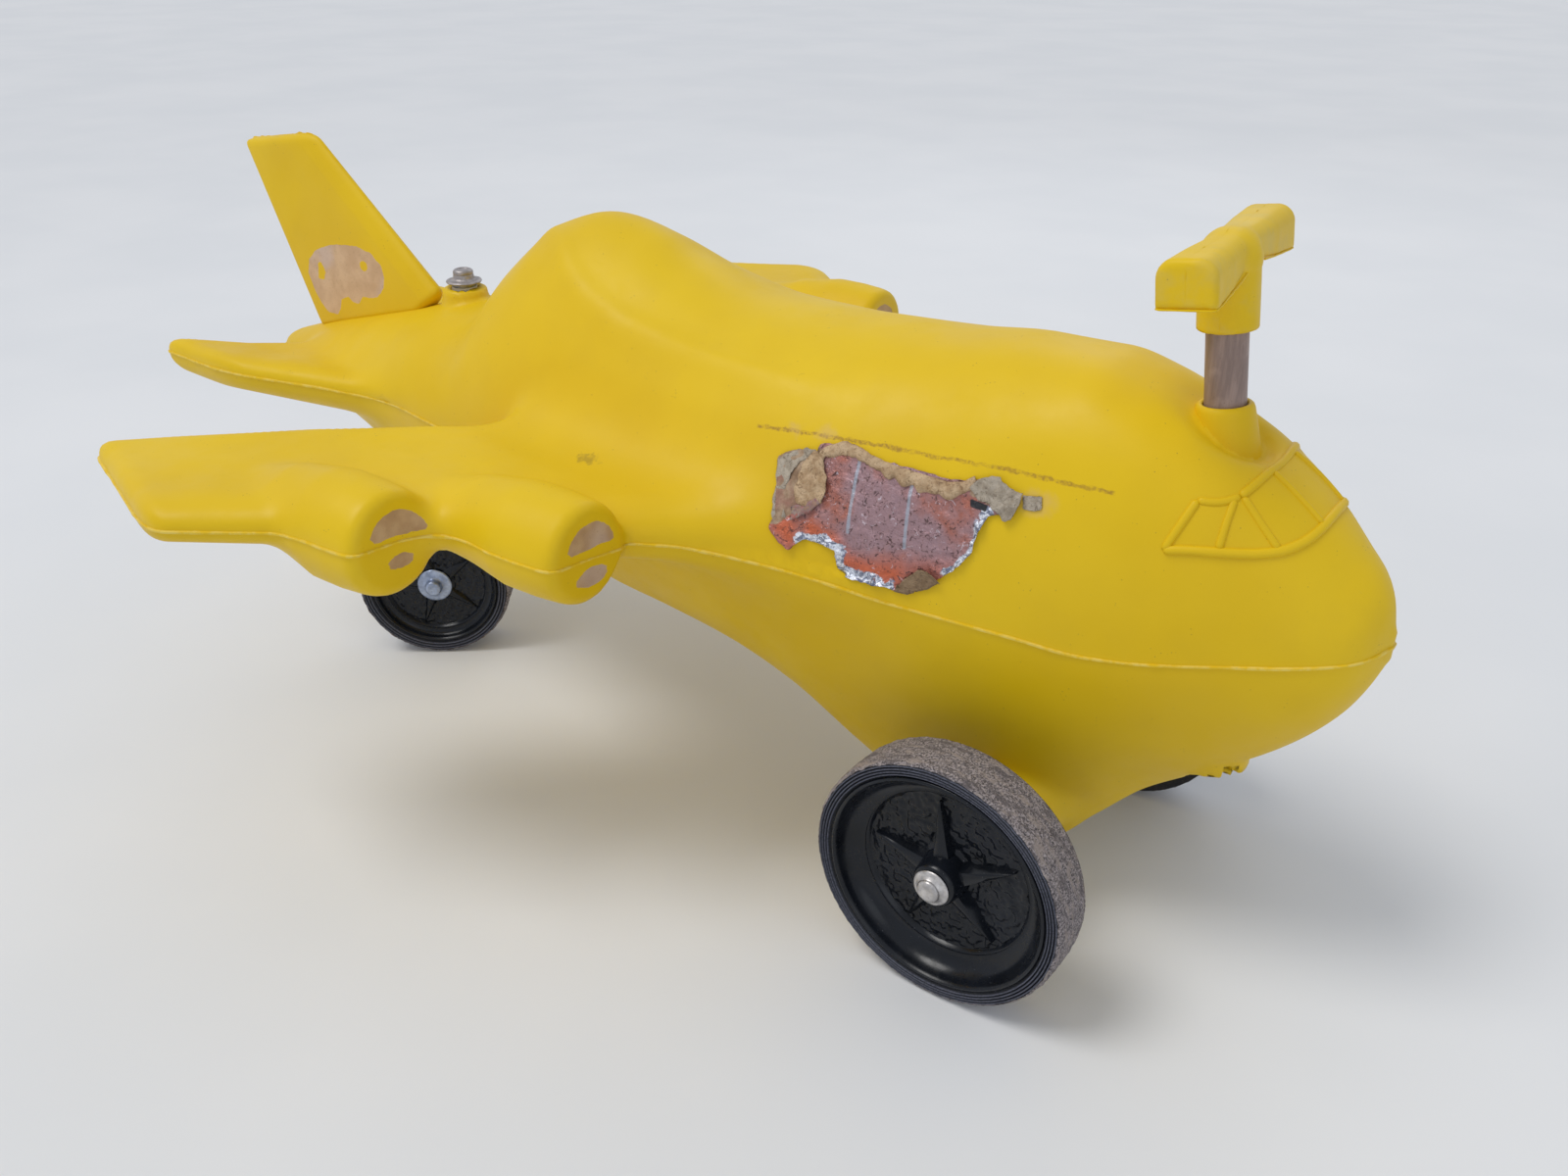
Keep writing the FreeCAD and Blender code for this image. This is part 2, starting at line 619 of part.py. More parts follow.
def caster_yoke():
    """Round plate under the body and a centre web down to the axle."""
    plate = cylinder(17.0, 4.0, Vector(0, 0, PLATE_TOP - 4.0), UP)
    yoke = fuse([plate, slab(YOKE_WEB, -WEB_HALF, 2 * WEB_HALF)])
    yoke = yoke.cut(cylinder(REAR_AXLE_R + SEAT, 40, Vector(-TRAIL, -20, REAR_R), PORT))
    return yoke.cut(cylinder(STEM_R + SEAT, 30, Vector(0, 0, STEM_BOTTOM - SEAT), UP))


def stem_ring(radius, z, height, x=0):
    """Washer or bush that turns on the stem."""
    return ring(radius, STEM_R + RUN, height, Vector(x, 0, z), UP)


stem = cylinder(STEM_R, STEM_TOP - STEM_BOTTOM, Vector(0, 0, STEM_BOTTOM), UP)
stem_nut = largest(revolve(STEM_NUT, Vector(0, 0, 298.0), UP, Vector(1, 0, 0)).cut(stem))
write_caster("caster_yoke", caster_yoke())
write_caster("caster_stem", stem)
write_caster("caster_thrust_washer", stem_ring(15.0, FOOT_Z - THRUST_T - 0.15, THRUST_T))
write_caster("caster_top_washer", stem_ring(8.6, 296.0, 1.7))
write_caster("caster_push_nut", stem_nut)
# bushes stay with the body, so they do not swing
write("caster_bush_upper", stem_ring(BUSH_R, 259.0, 36.6, STEM_X))
write("caster_bush_lower", stem_ring(BUSH_R, FOOT_Z, 17.0, STEM_X))

# twin wheels, one on each side of the web
rear_wheel = Wheel(
    radius=REAR_R, rim_r=49.5, width=REAR_W, face=WEB_HALF + 0.3 + REAR_W, hub_r=10.0,
    axle_r=REAR_AXLE_R, web_depth=9.5, split=0.62, hub_inset=5.5,
    cap_brim=14.0, dome_r=6.6, cap_height=8.6)
rear_centre = Vector(-TRAIL, 0, REAR_R)
for side, tag in SIDES:
    for kind, shape in rear_wheel.pieces(side):
        shape.translate(rear_centre)
        write_caster("rear_%s_%s" % (kind, tag), shape)
write_caster("rear_axle", rear_wheel.axle(rear_centre))

# ---- torn label on the starboard side -----------------------------------
# torn outline: (x, z)
LABEL = [(-137, 246), (-131, 281), (-96, 293), (-44, 289), (-12, 291), (4, 276),
         (-9, 252), (-36, 226), (-62, 219), (-92, 221), (-104, 238), (-128, 240)]
LABEL_INNER, LABEL_OUTER = 0.05, 0.45   # its faces, measured out from the skin

label = fuselage(-LABEL_OUTER).common(slab(LABEL, -140, 100)).cut(fuselage(-LABEL_INNER))
write("side_label", largest(label))
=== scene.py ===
"""Yellow ride-on toy aeroplane with a push handle, two front wheels and a rear caster.

Lengths are millimetres from a point on the ground below the middle of the front axle:
x runs forward to the nose, y to port (left), z up. build() turns them into CAD metres.
A "shape" is a function of x, y, z that is negative inside, roughly a signed distance.
"""

import math
from itertools import product
from types import SimpleNamespace

import bpy
import numpy as np
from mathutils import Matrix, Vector


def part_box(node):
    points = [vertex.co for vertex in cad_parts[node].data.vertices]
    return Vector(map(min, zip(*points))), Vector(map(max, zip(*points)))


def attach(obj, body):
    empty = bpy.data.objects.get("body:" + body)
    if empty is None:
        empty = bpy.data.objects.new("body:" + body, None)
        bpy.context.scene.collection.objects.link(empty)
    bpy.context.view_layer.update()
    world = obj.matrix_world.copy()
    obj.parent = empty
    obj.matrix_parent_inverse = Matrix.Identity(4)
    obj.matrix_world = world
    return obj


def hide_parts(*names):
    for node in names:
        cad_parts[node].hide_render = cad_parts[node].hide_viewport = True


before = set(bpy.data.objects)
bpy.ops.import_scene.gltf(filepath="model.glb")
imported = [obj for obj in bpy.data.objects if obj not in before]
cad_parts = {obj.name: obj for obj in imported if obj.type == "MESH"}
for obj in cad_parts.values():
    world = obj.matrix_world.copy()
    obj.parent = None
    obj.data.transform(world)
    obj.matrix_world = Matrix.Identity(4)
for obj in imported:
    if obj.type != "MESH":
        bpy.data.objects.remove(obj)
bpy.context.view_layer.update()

axle_low, axle_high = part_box("front_axle")
ORIGIN = np.array([0.5 * (axle_low.x + axle_high.x) * 1000, 0, 0])  # in the CAD frame
UP = np.array([0.0, 0.0, 1.0])
PORT = np.array([0.0, 1.0, 0.0])

# ---- driving dimensions ---------------------------------------------------------
# Fuselage stations: x, half width, height of the widest level, top, underside,
# roundness (superellipse power) above and below that level
FUSELAGE = np.array([
    (172, 4, 222, 232, 212, 2, 2), (168, 15, 221, 246, 200, 2, 2),
    (162, 25, 220, 257, 186, 2, 1.95), (152, 34, 219, 268, 170, 2, 1.9),
    (135, 44, 217, 284, 150, 2.3, 1.8), (111, 54, 214, 301, 128, 2.8, 1.65),
    (87, 62, 210, 313, 109, 3.2, 1.55), (62, 68, 206, 324, 88, 3.2, 1.45),
    (36, 73, 204, 334, 58, 3, 1.4), (9, 78, 206, 341, 28, 2.6, 1.35),
    (-30, 88, 210, 341, 19, 2.3, 1.3), (-78, 96, 214, 336, 20, 2.2, 1.3),
    (-118, 100, 218, 333, 42, 2.2, 1.4), (-160, 102, 221, 331, 72, 2.2, 1.5),
    (-207, 101, 225, 333, 96, 2.1, 1.7), (-259, 100, 227, 345, 107, 1.9, 1.8),
    (-298, 99, 228, 360, 114, 1.75, 1.9), (-335, 97, 228, 367, 120, 1.75, 1.9),
    (-368, 94, 227, 359, 125, 1.8, 2), (-398, 90, 226, 337, 130, 1.9, 2),
    (-424, 86, 225, 305, 134, 2, 2), (-450, 82, 225, 291, 138, 2, 2),
    (-486, 75, 225, 284, 143, 2.1, 2), (-530, 65, 225, 273, 152, 2, 2),
    (-580, 52, 224, 260, 166, 2, 2), (-630, 39, 221, 247, 180, 2, 2),
    (-675, 26, 218, 233, 195, 2, 2), (-700, 14, 216, 224, 206, 2, 2),
    (-707, 5, 215, 219, 211, 2, 2)], float)[::-1]

TUBE_TOP = np.array([71.9, 0, 327])
TUBE_FOOT = np.array([98.7, 0, 116.6])
TUBE_LENGTH = np.linalg.norm(TUBE_TOP - TUBE_FOOT)
TUBE_AXIS = (TUBE_TOP - TUBE_FOOT) / TUBE_LENGTH
STEM_X = -486.0  # caster stem
FRONT_RADIUS = 76.2  # also the height of the front axle
REAR_RADIUS = 59.4
PODS = ((-279, 241, 243), (-189, 187, 240))  # centres of the front faces of the wing pods

# Raised line from the back rest down both sides of the seat: x, distance from the middle
RIDGE = [(-382, 14), (-354, 33), (-330, 50), (-307, 58.5), (-280, 62.5), (-245, 63.5),
         (-216, 64), (-168, 66), (-130, 66), (-90, 64)]

# Handle axes, turned a little about the tube
TUBE_FRONT = np.array([TUBE_AXIS[2], 0, -TUBE_AXIS[0]])
HANDLE_TURN = math.radians(4.5)


def turned(direction):
    across = np.cross(TUBE_AXIS, direction)
    return direction * math.cos(HANDLE_TURN) + across * math.sin(HANDLE_TURN)


HANDLE_FRONT = turned(TUBE_FRONT)
HANDLE_PORT = turned(PORT)

# Hand grip: half width, underside, top and corner radius against distance from the tube axis
GRIP_WIDTH = ([0, 10, 40, 68], [10, 10.6, 13, 13.9])
GRIP_UNDERSIDE = ([0, 14, 40, 68], [67.5, 66.5, 63.6, 61.4])
GRIP_TOP = ([0, 14, 40, 68], [83, 83.3, 83.9, 84.2])
GRIP_CORNER = ([0, 40, 68], [7, 8.5, 9])

# Wheels. face, web and hub_end are distances out along the axle, split is the share of the
# width taken by the outer rim; disc, arm_end and rim are radii, arm_* are the star's arms.
FRONT_WHEEL = SimpleNamespace(
    radius=FRONT_RADIUS, rim=66.4, width=32.8, face=137.2, ribs=4, web=119.6, hub=11.8,
    hub_end=136.2, bore=5.7, disc=50.5, split=0.72, barrel=-2.6, arm_end=45.5, arm_half=6.4,
    arm_height=8.6, arm_turn=0.14, seed=40)
REAR_WIDTH = 17.5
REAR_FACE = 3.9 + REAR_WIDTH
REAR_WHEEL = SimpleNamespace(
    radius=REAR_RADIUS, rim=49.5, width=REAR_WIDTH, face=REAR_FACE, ribs=3,
    web=REAR_FACE - 9.8, hub=10.0, hub_end=REAR_FACE - 5.6, bore=4.9, disc=39.5, split=0.62,
    barrel=-1.6, arm_end=38.6, arm_half=5.6, arm_height=3.6, arm_turn=0.30, seed=140)
CASTER_SWING = math.radians(38)
CASTER_TRAIL = 47.0


# ---- curves and distances -------------------------------------------------------
def monotone_curve(known_x, known_y, x):
    """Cubic through the stations that doesn't overshoot them."""
    gap = np.diff(known_x)
    rise = np.diff(known_y) / gap
    slope = np.zeros(len(known_x))
    slope[0], slope[-1] = rise[0], rise[-1]
    before, after = 2 * gap[1:] + gap[:-1], gap[1:] + 2 * gap[:-1]
    same = rise[:-1] * rise[1:] > 0
    left, right = np.where(same, rise[:-1], 1), np.where(same, rise[1:], 1)
    slope[1:-1] = np.where(same, (before + after) / (before / left + after / right), 0)
    i = np.clip(np.searchsorted(known_x, x) - 1, 0, len(known_x) - 2)
    part = np.clip((x - known_x[i]) / gap[i], 0, 1)
    square, cube = part * part, part * part * part
    return ((2 * cube - 3 * square + 1) * known_y[i]
            + (cube - 2 * square + part) * gap[i] * slope[i]
            + (-2 * cube + 3 * square) * known_y[i + 1]
            + (cube - square) * gap[i] * slope[i + 1])


def blend(first, second, reach):
    """Union of two shapes with a soft fillet."""
    part = np.clip(0.5 + 0.5 * (second - first) / reach, 0, 1)
    return second * (1 - part) + first * part - reach * part * (1 - part)


def rounded(first, second, radius):
    """Overlap of two half spaces, given by their distances, with a rounded corner."""
    first, second = first + radius, second + radius
    outside = np.sqrt(np.maximum(first, 0) ** 2 + np.maximum(second, 0) ** 2)
    return np.minimum(np.maximum(first, second), 0) + outside - radius


def nearest_on_line(x, y, line):
    """Distance to a chain of points, and the nearest place on it."""
    line = np.array(line, float)
    best = np.full(x.shape, 1e9)
    near_x, near_y = np.zeros_like(x), np.zeros_like(y)
    for start, end in zip(line[:-1], line[1:]):
        run = end - start
        part = ((x - start[0]) * run[0] + (y - start[1]) * run[1]) / (run @ run)
        part = np.clip(part, 0, 1)
        at_x, at_y = start[0] + part * run[0], start[1] + part * run[1]
        distance = np.hypot(x - at_x, y - at_y)
        closer = distance < best
        best = np.where(closer, distance, best)
        near_x, near_y = np.where(closer, at_x, near_x), np.where(closer, at_y, near_y)
    return best, near_x, near_y


def line_distance(x, y, line):
    return nearest_on_line(x, y, line)[0]


def in_polygon(x, y, corners):
    """Signed distance to a polygon (negative inside) and the nearest place on it."""
    ring = np.array(list(corners) + [corners[0]], float)
    distance, near_x, near_y = nearest_on_line(x, y, ring)
    inside = np.zeros(x.shape, bool)
    for start, end in zip(ring[:-1], ring[1:]):
        rise = end[1] - start[1] + 1e-12
        left = x < (end[0] - start[0]) * (y - start[1]) / rise + start[0]
        inside ^= ((start[1] > y) != (end[1] > y)) & left
    return np.where(inside, -distance, distance), near_x, near_y


def polygon_distance(x, y, corners):
    return in_polygon(x, y, corners)[0]


# ---- noise ----------------------------------------------------------------------
HASH_FACTORS = np.array([374761393, 668265263, 1440662683], np.int64)


def lattice_hash(cell, seed):
    mixed = (cell @ HASH_FACTORS + seed * 974634777) & 0xffffffff
    mixed = ((mixed ^ (mixed >> 13)) * 1274126177) & 0xffffffff
    return ((mixed ^ (mixed >> 16)) & 0xffff) / 65535.0


def noise(points, scale, seed):
    """Smooth value noise in -1..1; scale is the size of a cell."""
    place = np.asarray(points, float) / scale
    cell = np.floor(place).astype(np.int64)
    part = place - cell
    part = part * part * (3 - 2 * part)
    total = 0
    for corner in product((0, 1), repeat=3):
        weight = np.where(corner, part, 1 - part).prod(axis=1)
        total = total + weight * lattice_hash(cell + np.array(corner), seed)
    return total * 2 - 1


def layered_noise(points, scale, seed):
    """Three octaves of noise, each half the size and strength of the one before."""
    return sum(0.5 ** i * noise(points, scale / 2 ** i, seed + i * 17) for i in range(3)) / 1.75


def dented(points, depth, scale, seed):
    shifts = [noise(points, scale, seed + i) for i in range(3)]
    return points + depth * np.column_stack(shifts)


# ---- surfaces from shapes -------------------------------------------------------
def surface_nets(field, low, step):
    """Vertices and quads where a sampled field changes sign."""
    inside = field < 0
    corners = [(n & 1, n >> 1 & 1, n >> 2) for n in range(8)]
    edges = [(n, n | bit) for bit in (1, 2, 4) for n in range(8) if not n & bit]
    nx, ny, nz = field.shape
    count = sum(inside[a:nx - 1 + a, b:ny - 1 + b, c:nz - 1 + c].astype(np.int8)
                for a, b, c in corners)
    mixed = (count > 0) & (count < 8)
    cells = np.argwhere(mixed)
    index = -np.ones(mixed.shape, np.int64)
    index[mixed] = np.arange(len(cells))
    total, hits = np.zeros((len(cells), 3)), np.zeros(len(cells))
    for start, end in (np.array([corners[a], corners[b]]) for a, b in edges):
        at_start, at_end = field[tuple((cells + start).T)], field[tuple((cells + end).T)]
        crossed = (at_start < 0) != (at_end < 0)
        part = at_start[crossed] / (at_start[crossed] - at_end[crossed])
        total[crossed] += start[None] + (end - start)[None] * part[:, None]
        hits[crossed] += 1
    verts = low + (cells + total / hits[:, None]) * step
    quads = []
    for axis in range(3):
        first, second = [slice(None)] * 3, [slice(None)] * 3
        first[axis], second[axis] = slice(0, -1), slice(1, None)
        here, there = inside[tuple(first)], inside[tuple(second)]
        change = here != there
        crossing = np.argwhere(change)
        sides = [n for n in range(3) if n != axis]
        away = [(crossing[:, n] > 0) & (crossing[:, n] < field.shape[n] - 1) for n in sides]
        kept = away[0] & away[1]
        crossing = crossing[kept]
        loop = []
        for back in ((0, 0), (1, 0), (1, 1), (0, 1)):
            cell = crossing.copy()
            cell[:, sides] -= back
            loop.append(index[tuple(cell.T)])
        quad = np.column_stack(loop)
        flip = here[change][kept]
        if axis == 1:
            flip = ~flip
        quad[flip] = quad[flip][:, ::-1]
        quads.append(quad)
    return verts, np.vstack(quads)


def gradient(shape, points, step=0.4):
    """Values of a shape at the points, and its slopes."""
    values = shape(*points.T)
    slopes = [shape(*(points + step * np.eye(3)[n]).T) - values for n in range(3)]
    return values, np.column_stack(slopes) / step


def normals_on(shape, points):
    return gradient(shape, points)[1]


def project(shape, points, passes, limit):
    """Move points onto the surface, by no more than limit in each pass."""
    for _ in range(passes):
        values, slopes = gradient(shape, points)
        move = np.clip(values / ((slopes ** 2).sum(1) + 1e-6), -limit, limit)
        points = points - slopes * move[:, None]
    return points


def solid_mesh(shape, low, high, step, mirrored=False, passes=2):
    """Vertices and quads of a shape; mirrored samples only port and copies it over."""
    low = np.array(low, float)
    counts = np.ceil((np.array(high) - low) / step).astype(int) + 1
    axes = [start + step * np.arange(count) for start, count in zip(low, counts)]
    if mirrored:
        half = int(np.ceil(high[1] / step))
        low[1] = -half * step
        axes[1] = step * np.arange(half + 1)
    field = shape(*np.meshgrid(*axes, indexing="ij"))
    if mirrored:
        field = np.concatenate([field[:, :0:-1], field], axis=1)
    verts, quads = surface_nets(field, low, step)
    return project(shape, verts, passes, step), quads


# ---- mesh helpers ---------------------------------------------------------------
def build(name, verts, faces, material, body, slot, replaces=(), attributes=None, sharp=None):
    """Smooth mesh object; sharp is the angle in degrees above which edges stay crisp."""
    if isinstance(faces, np.ndarray):
        faces = faces.tolist()
    mesh = bpy.data.meshes.new(name)
    mesh.from_pydata(((verts + ORIGIN) / 1000.0).tolist(), [], faces)
    mesh.validate()
    for key, values in (attributes or {}).items():
        layer = mesh.attributes.new(key, "FLOAT", "POINT")
        layer.data.foreach_set("value", np.asarray(values, np.float32))
    mesh.polygons.foreach_set("use_smooth", [True] * len(mesh.polygons))
    if sharp:
        mesh.set_sharp_from_angle(angle=math.radians(sharp))
    mesh.update()
    thing = bpy.data.objects.new(name, mesh)
    bpy.context.scene.collection.objects.link(thing)
    mesh.materials.append(material)
    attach(thing, body)
    if replaces:
        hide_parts(*replaces)
    return thing


def build_yellow(name, verts, faces, material, body="airframe", **options):
    return build(name, verts, faces, material, body, "yellow_plastic", **options)


def join(parts):
    """Several (verts, faces) as one."""
    verts, faces, start = [], [], 0
    for part_verts, part_faces in parts:
        verts.append(part_verts)
        faces += [[i + start for i in face] for face in part_faces]
        start += len(part_verts)
    return np.vstack(verts), faces


def outward(verts, faces):
    """Faces turned so that the closed mesh encloses a positive volume."""
    volume = 0.0
    for face in faces:
        for i in range(1, len(face) - 1):
            volume += np.dot(verts[face[0]], np.cross(verts[face[i]], verts[face[i + 1]]))
    return (verts, faces) if volume > 0 else (verts, [face[::-1] for face in faces])


def lathe(profile, origin, axis, reference, segments):
    """Turn (distance along the axis, radius) points about the axis.

    A profile that starts on the axis runs from pole to pole; any other one is closed."""
    other = np.cross(axis, reference)
    verts, faces, rings = [], [], []
    for distance, radius in profile:
        start = len(verts)
        if radius == 0:
            rings.append([start])
            verts.append(origin + axis * distance)
            continue
        rings.append(list(range(start, start + segments)))
        for k in range(segments):
            turn = 2 * math.pi * k / segments
            spoke = reference * math.cos(turn) + other * math.sin(turn)
            verts.append(origin + axis * distance + spoke * radius)
    if len(rings[0]) > 1:
        rings.append(rings[0])
    for lower, upper in zip(rings[:-1], rings[1:]):
        for k in range(segments):
            after = (k + 1) % segments
            if len(lower) == 1:
                faces.append([lower[0], upper[after], upper[k]])
            elif len(upper) == 1:
                faces.append([lower[k], lower[after], upper[0]])
            else:
                faces.append([lower[k], lower[after], upper[after], upper[k]])
    return np.array(verts), faces


def dented_lathe(profile, origin, axis, reference, segments, **dents):
    verts, faces = lathe(profile, origin, axis, reference, segments)
    return outward(dented(verts, **dents), faces)


def tube_faces(rings, sides, closed=False):
    faces = []
    for i in range(rings if closed else rings - 1):
        j = (i + 1) % rings
        for k in range(sides):
            after = (k + 1) % sides
            faces.append([i * sides + k, i * sides + after, j * sides + after, j * sides + k])
    return faces


def resample(points, step, closed=False):
    points = np.asarray(points, float)
    if closed:
        points = np.vstack([points, points[:1]])
    length = np.r_[0, np.cumsum(np.linalg.norm(np.diff(points, axis=0), axis=1))]
    places = np.linspace(0, length[-1], max(int(length[-1] / step), 3) + 1)
    if closed:
        places = places[:-1]
    return np.column_stack([np.interp(places, length, points[:, k]) for k in range(3)])


def relax(points, closed, passes):
    """Smooth a chain of points; the ends of an open one stay."""
    for _ in range(passes):
        eased = 0.5 * points + 0.25 * (np.roll(points, 1, 0) + np.roll(points, -1, 0))
        if not closed:
            eased[[0, -1]] = points[[0, -1]]
        points = eased
    return points


def sweep(points, normals, width, height, sink, closed=False, sides=6):
    """Bead of elliptic section along points on a surface, sunk a little into it."""
    count = len(points)
    following, previous = np.roll(points, -1, 0), np.roll(points, 1, 0)
    if not closed:
        following[-1], previous[0] = points[-1], points[0]
    along = following - previous
    along /= np.linalg.norm(along, axis=1)[:, None] + 1e-9
    normals = normals - along * (normals * along).sum(1)[:, None]
    normals /= np.linalg.norm(normals, axis=1)[:, None] + 1e-9
    across = np.cross(along, normals)
    verts = []
    for k in range(sides):
        turn = 2 * math.pi * k / sides
        sideways = (0.5 * width * math.cos(turn))[:, None]
        lift = (height * math.sin(turn) - sink)[:, None]
        verts.append(points + across * sideways + normals * lift)
    verts = np.array(verts).transpose(1, 0, 2).reshape(-1, 3)
    faces = tube_faces(count, sides, closed)
    if not closed:
        faces.append(list(range(sides))[::-1])
        faces.append([(count - 1) * sides + k for k in range(sides)])
    return outward(verts, faces)


def isolines(verts, quads, level):
    """Chains of points where level changes sign on a quad mesh, and whether each closes."""
    above = level > 0
    count = above[quads].sum(1)
    points, links = {}, {}
    for quad in quads[(count > 0) & (count < 4)]:
        keys = []
        for a, b in zip(quad, np.roll(quad, -1)):
            if above[a] != above[b]:
                key = (min(a, b), max(a, b))
                if key not in points:
                    part = level[a] / (level[a] - level[b])
                    points[key] = verts[a] + (verts[b] - verts[a]) * part
                keys.append(key)
        if len(keys) == 2:
            links.setdefault(keys[0], []).append(keys[1])
            links.setdefault(keys[1], []).append(keys[0])
    chains, seen = [], set()
    # open ends first, so that open chains are followed from one end
    for start in sorted(key for key in links if len(links[key]) == 1) + sorted(links):
        if start in seen:
            continue
        chain = [start]
        seen.add(start)
        while True:
            ahead = [key for key in links[chain[-1]] if key not in seen]
            if not ahead:
                break
            seen.add(ahead[0])
            chain.append(ahead[0])
        closed = len(chain) > 3 and chain[0] in links[chain[-1]]
        chains.append((np.array([points[key] for key in chain]), closed))
    return chains


def seam_chains(verts, quads, level, fewest, step, passes):
    """Evened and smoothed isolines, without those of fewer than the given points."""
    for points, closed in isolines(verts, quads, level):
        if len(points) >= fewest:
            yield relax(resample(points, step, closed), closed, passes), closed


# ---- airframe shape -------------------------------------------------------------
# "out" is the distance from the middle plane.
def fuselage(x, y, z):
    width, widest, top, bottom, above, below = [
        monotone_curve(FUSELAGE[:, 0], FUSELAGE[:, column], x) for column in range(1, 7)]
    upper = z >= widest
    height = np.where(upper, top - widest, widest - bottom)
    power = np.where(upper, above, below)
    across, upward = np.abs(y) / width, np.abs(z - widest) / height
    share = (across ** power + upward ** power + 1e-12) ** (1 / power)
    radius = np.sqrt(y * y + (z - widest) ** 2 + 1e-6)
    local = np.where(share > 1e-3, radius / share, np.minimum(width, height))
    shell = (share - 1) * np.minimum(local, np.maximum(width, height))
    return np.maximum(np.maximum(shell, x - 173), -708 - x)


def edge_line(start, end, outside, radius):
    """Straight edge of a slab: unit normal, offset along it, edge radius."""
    run = np.array(end, float) - np.array(start, float)
    normal = np.array([run[1], -run[0]]) / np.hypot(*run)
    if normal @ np.array(outside, float) < 0:
        normal = -normal
    return normal[0], normal[1], normal @ np.array(start, float), radius


def slab(x, out, z, edges, middle, above, below):
    """Plate with a soft outline in x, out and the given thickness above and below."""
    share = np.zeros_like(x)
    for normal_x, normal_out, offset, radius in edges:
        reach = normal_x * x + normal_out * out - offset
        share = share + np.maximum(reach / radius + 1, 0) ** 3
    share = share ** (1 / 3.0)
    off = z - middle
    thick = np.where(off >= 0, above, below)
    return ((share ** 2.4 + (np.abs(off) / thick) ** 2.4) ** (1 / 2.4) - 1) * thick


# leading edge, tip, trailing edge
WING = (edge_line((-128, 100), (-384, 315), (1, 1), 29),
        edge_line((-384, 319), (-522, 271), (0, 1), 12),
        edge_line((-522, 271), (-326, 88), (-1, 0), 17))
TAILPLANE = (edge_line((-505, 72), (-622, 119), (1, 1), 22),
             edge_line((-622, 119), (-706, 113), (0, 1), 12),
             edge_line((-710, 108), (-640, 42), (-1, 0), 14))


def wing_middle(out):
    return np.interp(out, [60, 90, 140, 187, 241, 316], [221, 223, 231, 238, 243, 248])


def tailplane_middle(out):
    return np.interp(out, [30, 72, 118], [225, 227, 234.5])


def wing(x, out, z):
    leading = -128 - (out - 100) * 256 / 215.0
    trailing = -326 - (out - 88) * 196 / 183.0
    chord = np.clip((leading - x) / (leading - trailing), 0, 1)
    taper = np.interp(out, [80, 160, 241, 319], [1.12, 1, 0.92, 0.76])
    front = np.interp(out, [80, 130, 170, 241, 319], [24, 22, 19, 17.5, 17])
    rear = np.interp(out, [80, 140, 187, 241, 319], [30, 28, 23, 17, 9])
    above = front + (rear - front) * np.clip((chord - 0.2) / 0.8, 0, 1)
    below = np.interp(chord, [0, 0.35, 1], [15, 15, 9])
    return slab(x, out, z, WING, wing_middle(out), above * taper, below * taper)


def tailplane(x, out, z):
    below = np.interp(out, [60, 118], [21, 14])
    return slab(x, out, z, TAILPLANE, tailplane_middle(out), 12.0, below)


def pod(x, out, z, centre):
    """Bullet with a flat front face that tapers back into the wing."""
    face, middle, height = centre
    back = face - x
    radius = np.interp(back, [0, 8, 24, 45, 80, 106, 126], [27.4, 29, 30.2, 30.4, 24.6, 14, 3])
    level = height + np.interp(back, [0, 60, 140], [0, 0, 2])
    if middle > 200:  # the outer pod is fuller below
        radius = radius * (1 + 0.10 * np.clip((level - z) / 25.0, 0, 1))
    side = np.sqrt((out - middle) ** 2 + (z - level) ** 2) - radius
    return np.maximum(rounded(-back, side, 5), back - 127)


def ridge_lift(x, out, z):
    """Height of the soft raised line round the seat."""
    lift = np.zeros_like(x)
    near = (z > 285) & (x < -80) & (x > -400) & (out < 98)
    x = x[near]
    bump = 3 * np.exp(-line_distance(x, out[near], RIDGE) ** 2 / 64)
    lift[near] = bump * np.clip((x + 395) / 30, 0, 1) * np.clip((-95 - x) / 90, 0, 1)
    return lift


